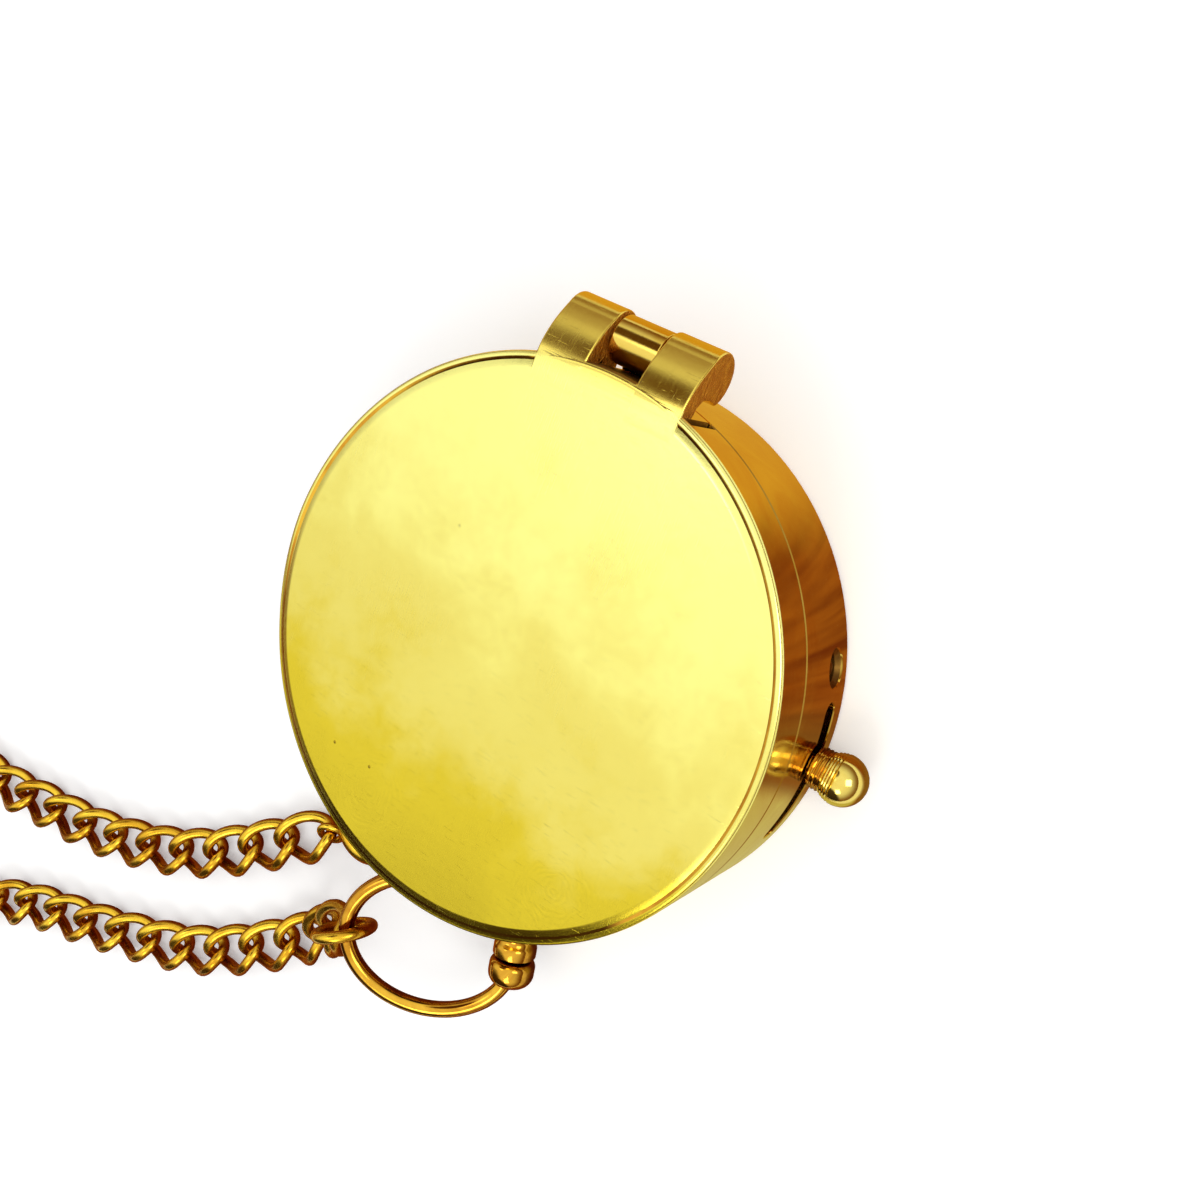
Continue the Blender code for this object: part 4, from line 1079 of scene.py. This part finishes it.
studioLook = Settings(
    horizon=0.42, zenith=1.12, plain=0.86, low=(0.52, 0.26, 0.09, 1),
    # azimuth, elevation, full and faded angle, colour or strength
    darkCards=((-105, 17, 29, 40, (0.07, 0.045, 0.03, 1)), (134, 52, 12, 20, (0.11, 0.05, 0.012, 1))),
    brightCard=(172, 70, 2, 11, 1.7),
)
white = (1, 1, 1, 1)


def direction(azimuth, elevation):
    a, e = radians(azimuth), radians(elevation)
    return (cos(a) * cos(e), sin(a) * cos(e), sin(e))


def makeWorld(look):
    world = bpy.data.worlds.new("studio")
    scene.world = world
    world.use_nodes = True
    tree = world.node_tree
    where = shade(tree, "TexCoord")["Generated"]
    height = split(where)[2]

    def patch(azimuth, elevation, full, faded):
        facing = measured("DOT_PRODUCT", where, direction(azimuth, elevation))
        return spread(facing, cos(radians(faded)), cos(radians(full)))

    *bright, strength = look.brightCard
    sky = spread(height, -0.05, 0.95, look.horizon, look.zenith)
    sky = plus(sky, times(patch(*bright), strength))
    tint = mixColour(spread(height, 0.05, 0.6), look.low, white)
    for *dark, colour in look.darkCards:
        tint = mixColour(patch(*dark), tint, colour)
    # The polished brass sees the cards, and everything else an even light
    path = shade(tree, "LightPath")
    shiny, seen = path["Is Glossy Ray"], path["Is Camera Ray"]
    feed(tree.nodes["Background"], {
        "Strength": mixValue(seen, mixValue(shiny, look.plain, sky), 1.0),
        "Color": mixColour(seen, mixColour(shiny, white, tint), white)})


floorLook = Settings(
    size=3.0, drop=0.05, tone=(0.94, 0.94, 0.935, 1), dull=(0.93, 0.93, 0.925, 1), lift=0.22,
)


def makeFloor(look):
    solid = bmesh.new()
    bmesh.ops.create_grid(solid, x_segments=1, y_segments=1, size=look.size)
    mesh = meshOf(solid, "floor")
    mesh.transform(moved(0, 0, -look.drop))
    made, shader, where = newMaterial("paleFloor")
    seen = shade(made.node_tree, "LightPath")["Is Camera Ray"]
    feed(shader, {"Base Color": mixColour(spread(noise(where, 6, 3), 0.3, 0.7), look.tone, look.dull),
                  "Roughness": 0.8, "Specular IOR Level": 0.1,
                  "Emission Color": white, "Emission Strength": times(seen, look.lift)})
    mesh.materials.append(made)
    linked("floor", mesh)


# Painted reflections: warm dark glowing cards lie round the case and under the chain, seen only in the
# polished brass
cardLooks = (
    Settings(name="warmCardSide", inner=36.3, fadeFrom=52.0, outer=68.0, start=-60.0, finish=84.0),
    Settings(name="warmCardBack", inner=36.3, fadeFrom=150.0, outer=180.0, start=84.0, finish=300.0),
)
cardTints = Settings(
    dark=(0.15, 0.028, 0.008, 1), warm=(0.42, 0.14, 0.02, 1),
    # Golden at the back, browner by the knob, and pale below it, where the brass shows the table:
    # the angles over which each comes in and goes out, and its colour
    sectors=((42, 64, 140, 155, (0.74, 0.42, 0.05, 1)), (-14, 0, 2, 16, (0.26, 0.13, 0.03, 1)),
             (-70, -58, -12, -5, (0.60, 0.54, 0.20, 1))),
)


def makeCardMaterial(look, tints):
    made, shader, where = newMaterial(look.name)
    tree = made.node_tree
    flat = split(where)
    turn = compute("ARCTAN2", flat[1], flat[0])
    streaks = noise(stretched(where, (40, 260, 40), (0, 0, 28)), 1.0, 4, 0.55, 0.3)
    colour = mixColour(spread(streaks, 0.28, 0.72), tints.dark, tints.warm)
    for *angles, tint in tints.sectors:
        rise, full, fall, gone = map(radians, angles)
        share = times(spread(turn, rise, full), spread(turn, fall, gone, 1.0, 0.0))
        colour = mixColour(share, colour, tint)
    shine = shade(tree, "Emission", {"Color": colour, "Strength": 1.0})[0]
    # Soft outer edge
    faded = spread(measured("DISTANCE", where, (0, 0, 0)), look.fadeFrom * mm, look.outer * mm)
    bare = shade(tree, "BsdfTransparent")[0]
    both = shade(tree, "MixShader", {0: faded, 1: shine, 2: bare})[0]
    feed(tree.nodes["Material Output"], {"Surface": both})
    return made


def makeWarmCard(look):
    solid = bmesh.new()
    near, far = ([solid.verts.new(around(a, radius, -0.02)) for a in between(look.start, look.finish, 60)]
                 for radius in (look.inner, look.outer))
    for i in range(60):
        solid.faces.new((near[i], far[i], far[i + 1], near[i + 1]))
    mesh = meshOf(solid, look.name)
    mesh.materials.append(makeCardMaterial(look, cardTints))
    card = linked(look.name, mesh)
    card.visible_camera = card.visible_diffuse = card.visible_shadow = card.visible_transmission = False


softBoxes = (
    Settings(name="softBoxRight", azimuth=20, elevation=42, away=0.55, size=0.22, power=0.55),
    Settings(name="softBoxFront", azimuth=-62, elevation=48, away=0.55, size=0.16, power=0.35),
)


def makeSoftBox(look):
    lamp = bpy.data.lights.new(look.name, "AREA")
    lamp.shape = "SQUARE"
    lamp.size = look.size
    lamp.energy = look.power
    holder = linked(look.name, lamp)
    toward = Vector(direction(look.azimuth, look.elevation))
    holder.location = toward * look.away
    holder.rotation_euler = toward.to_track_quat("Z", "Y").to_euler()


makeWorld(studioLook)
makeFloor(floorLook)
for card in cardLooks:
    makeWarmCard(card)
for box in softBoxes:
    makeSoftBox(box)
scene.view_settings.view_transform = "Standard"
print("floor and light set")
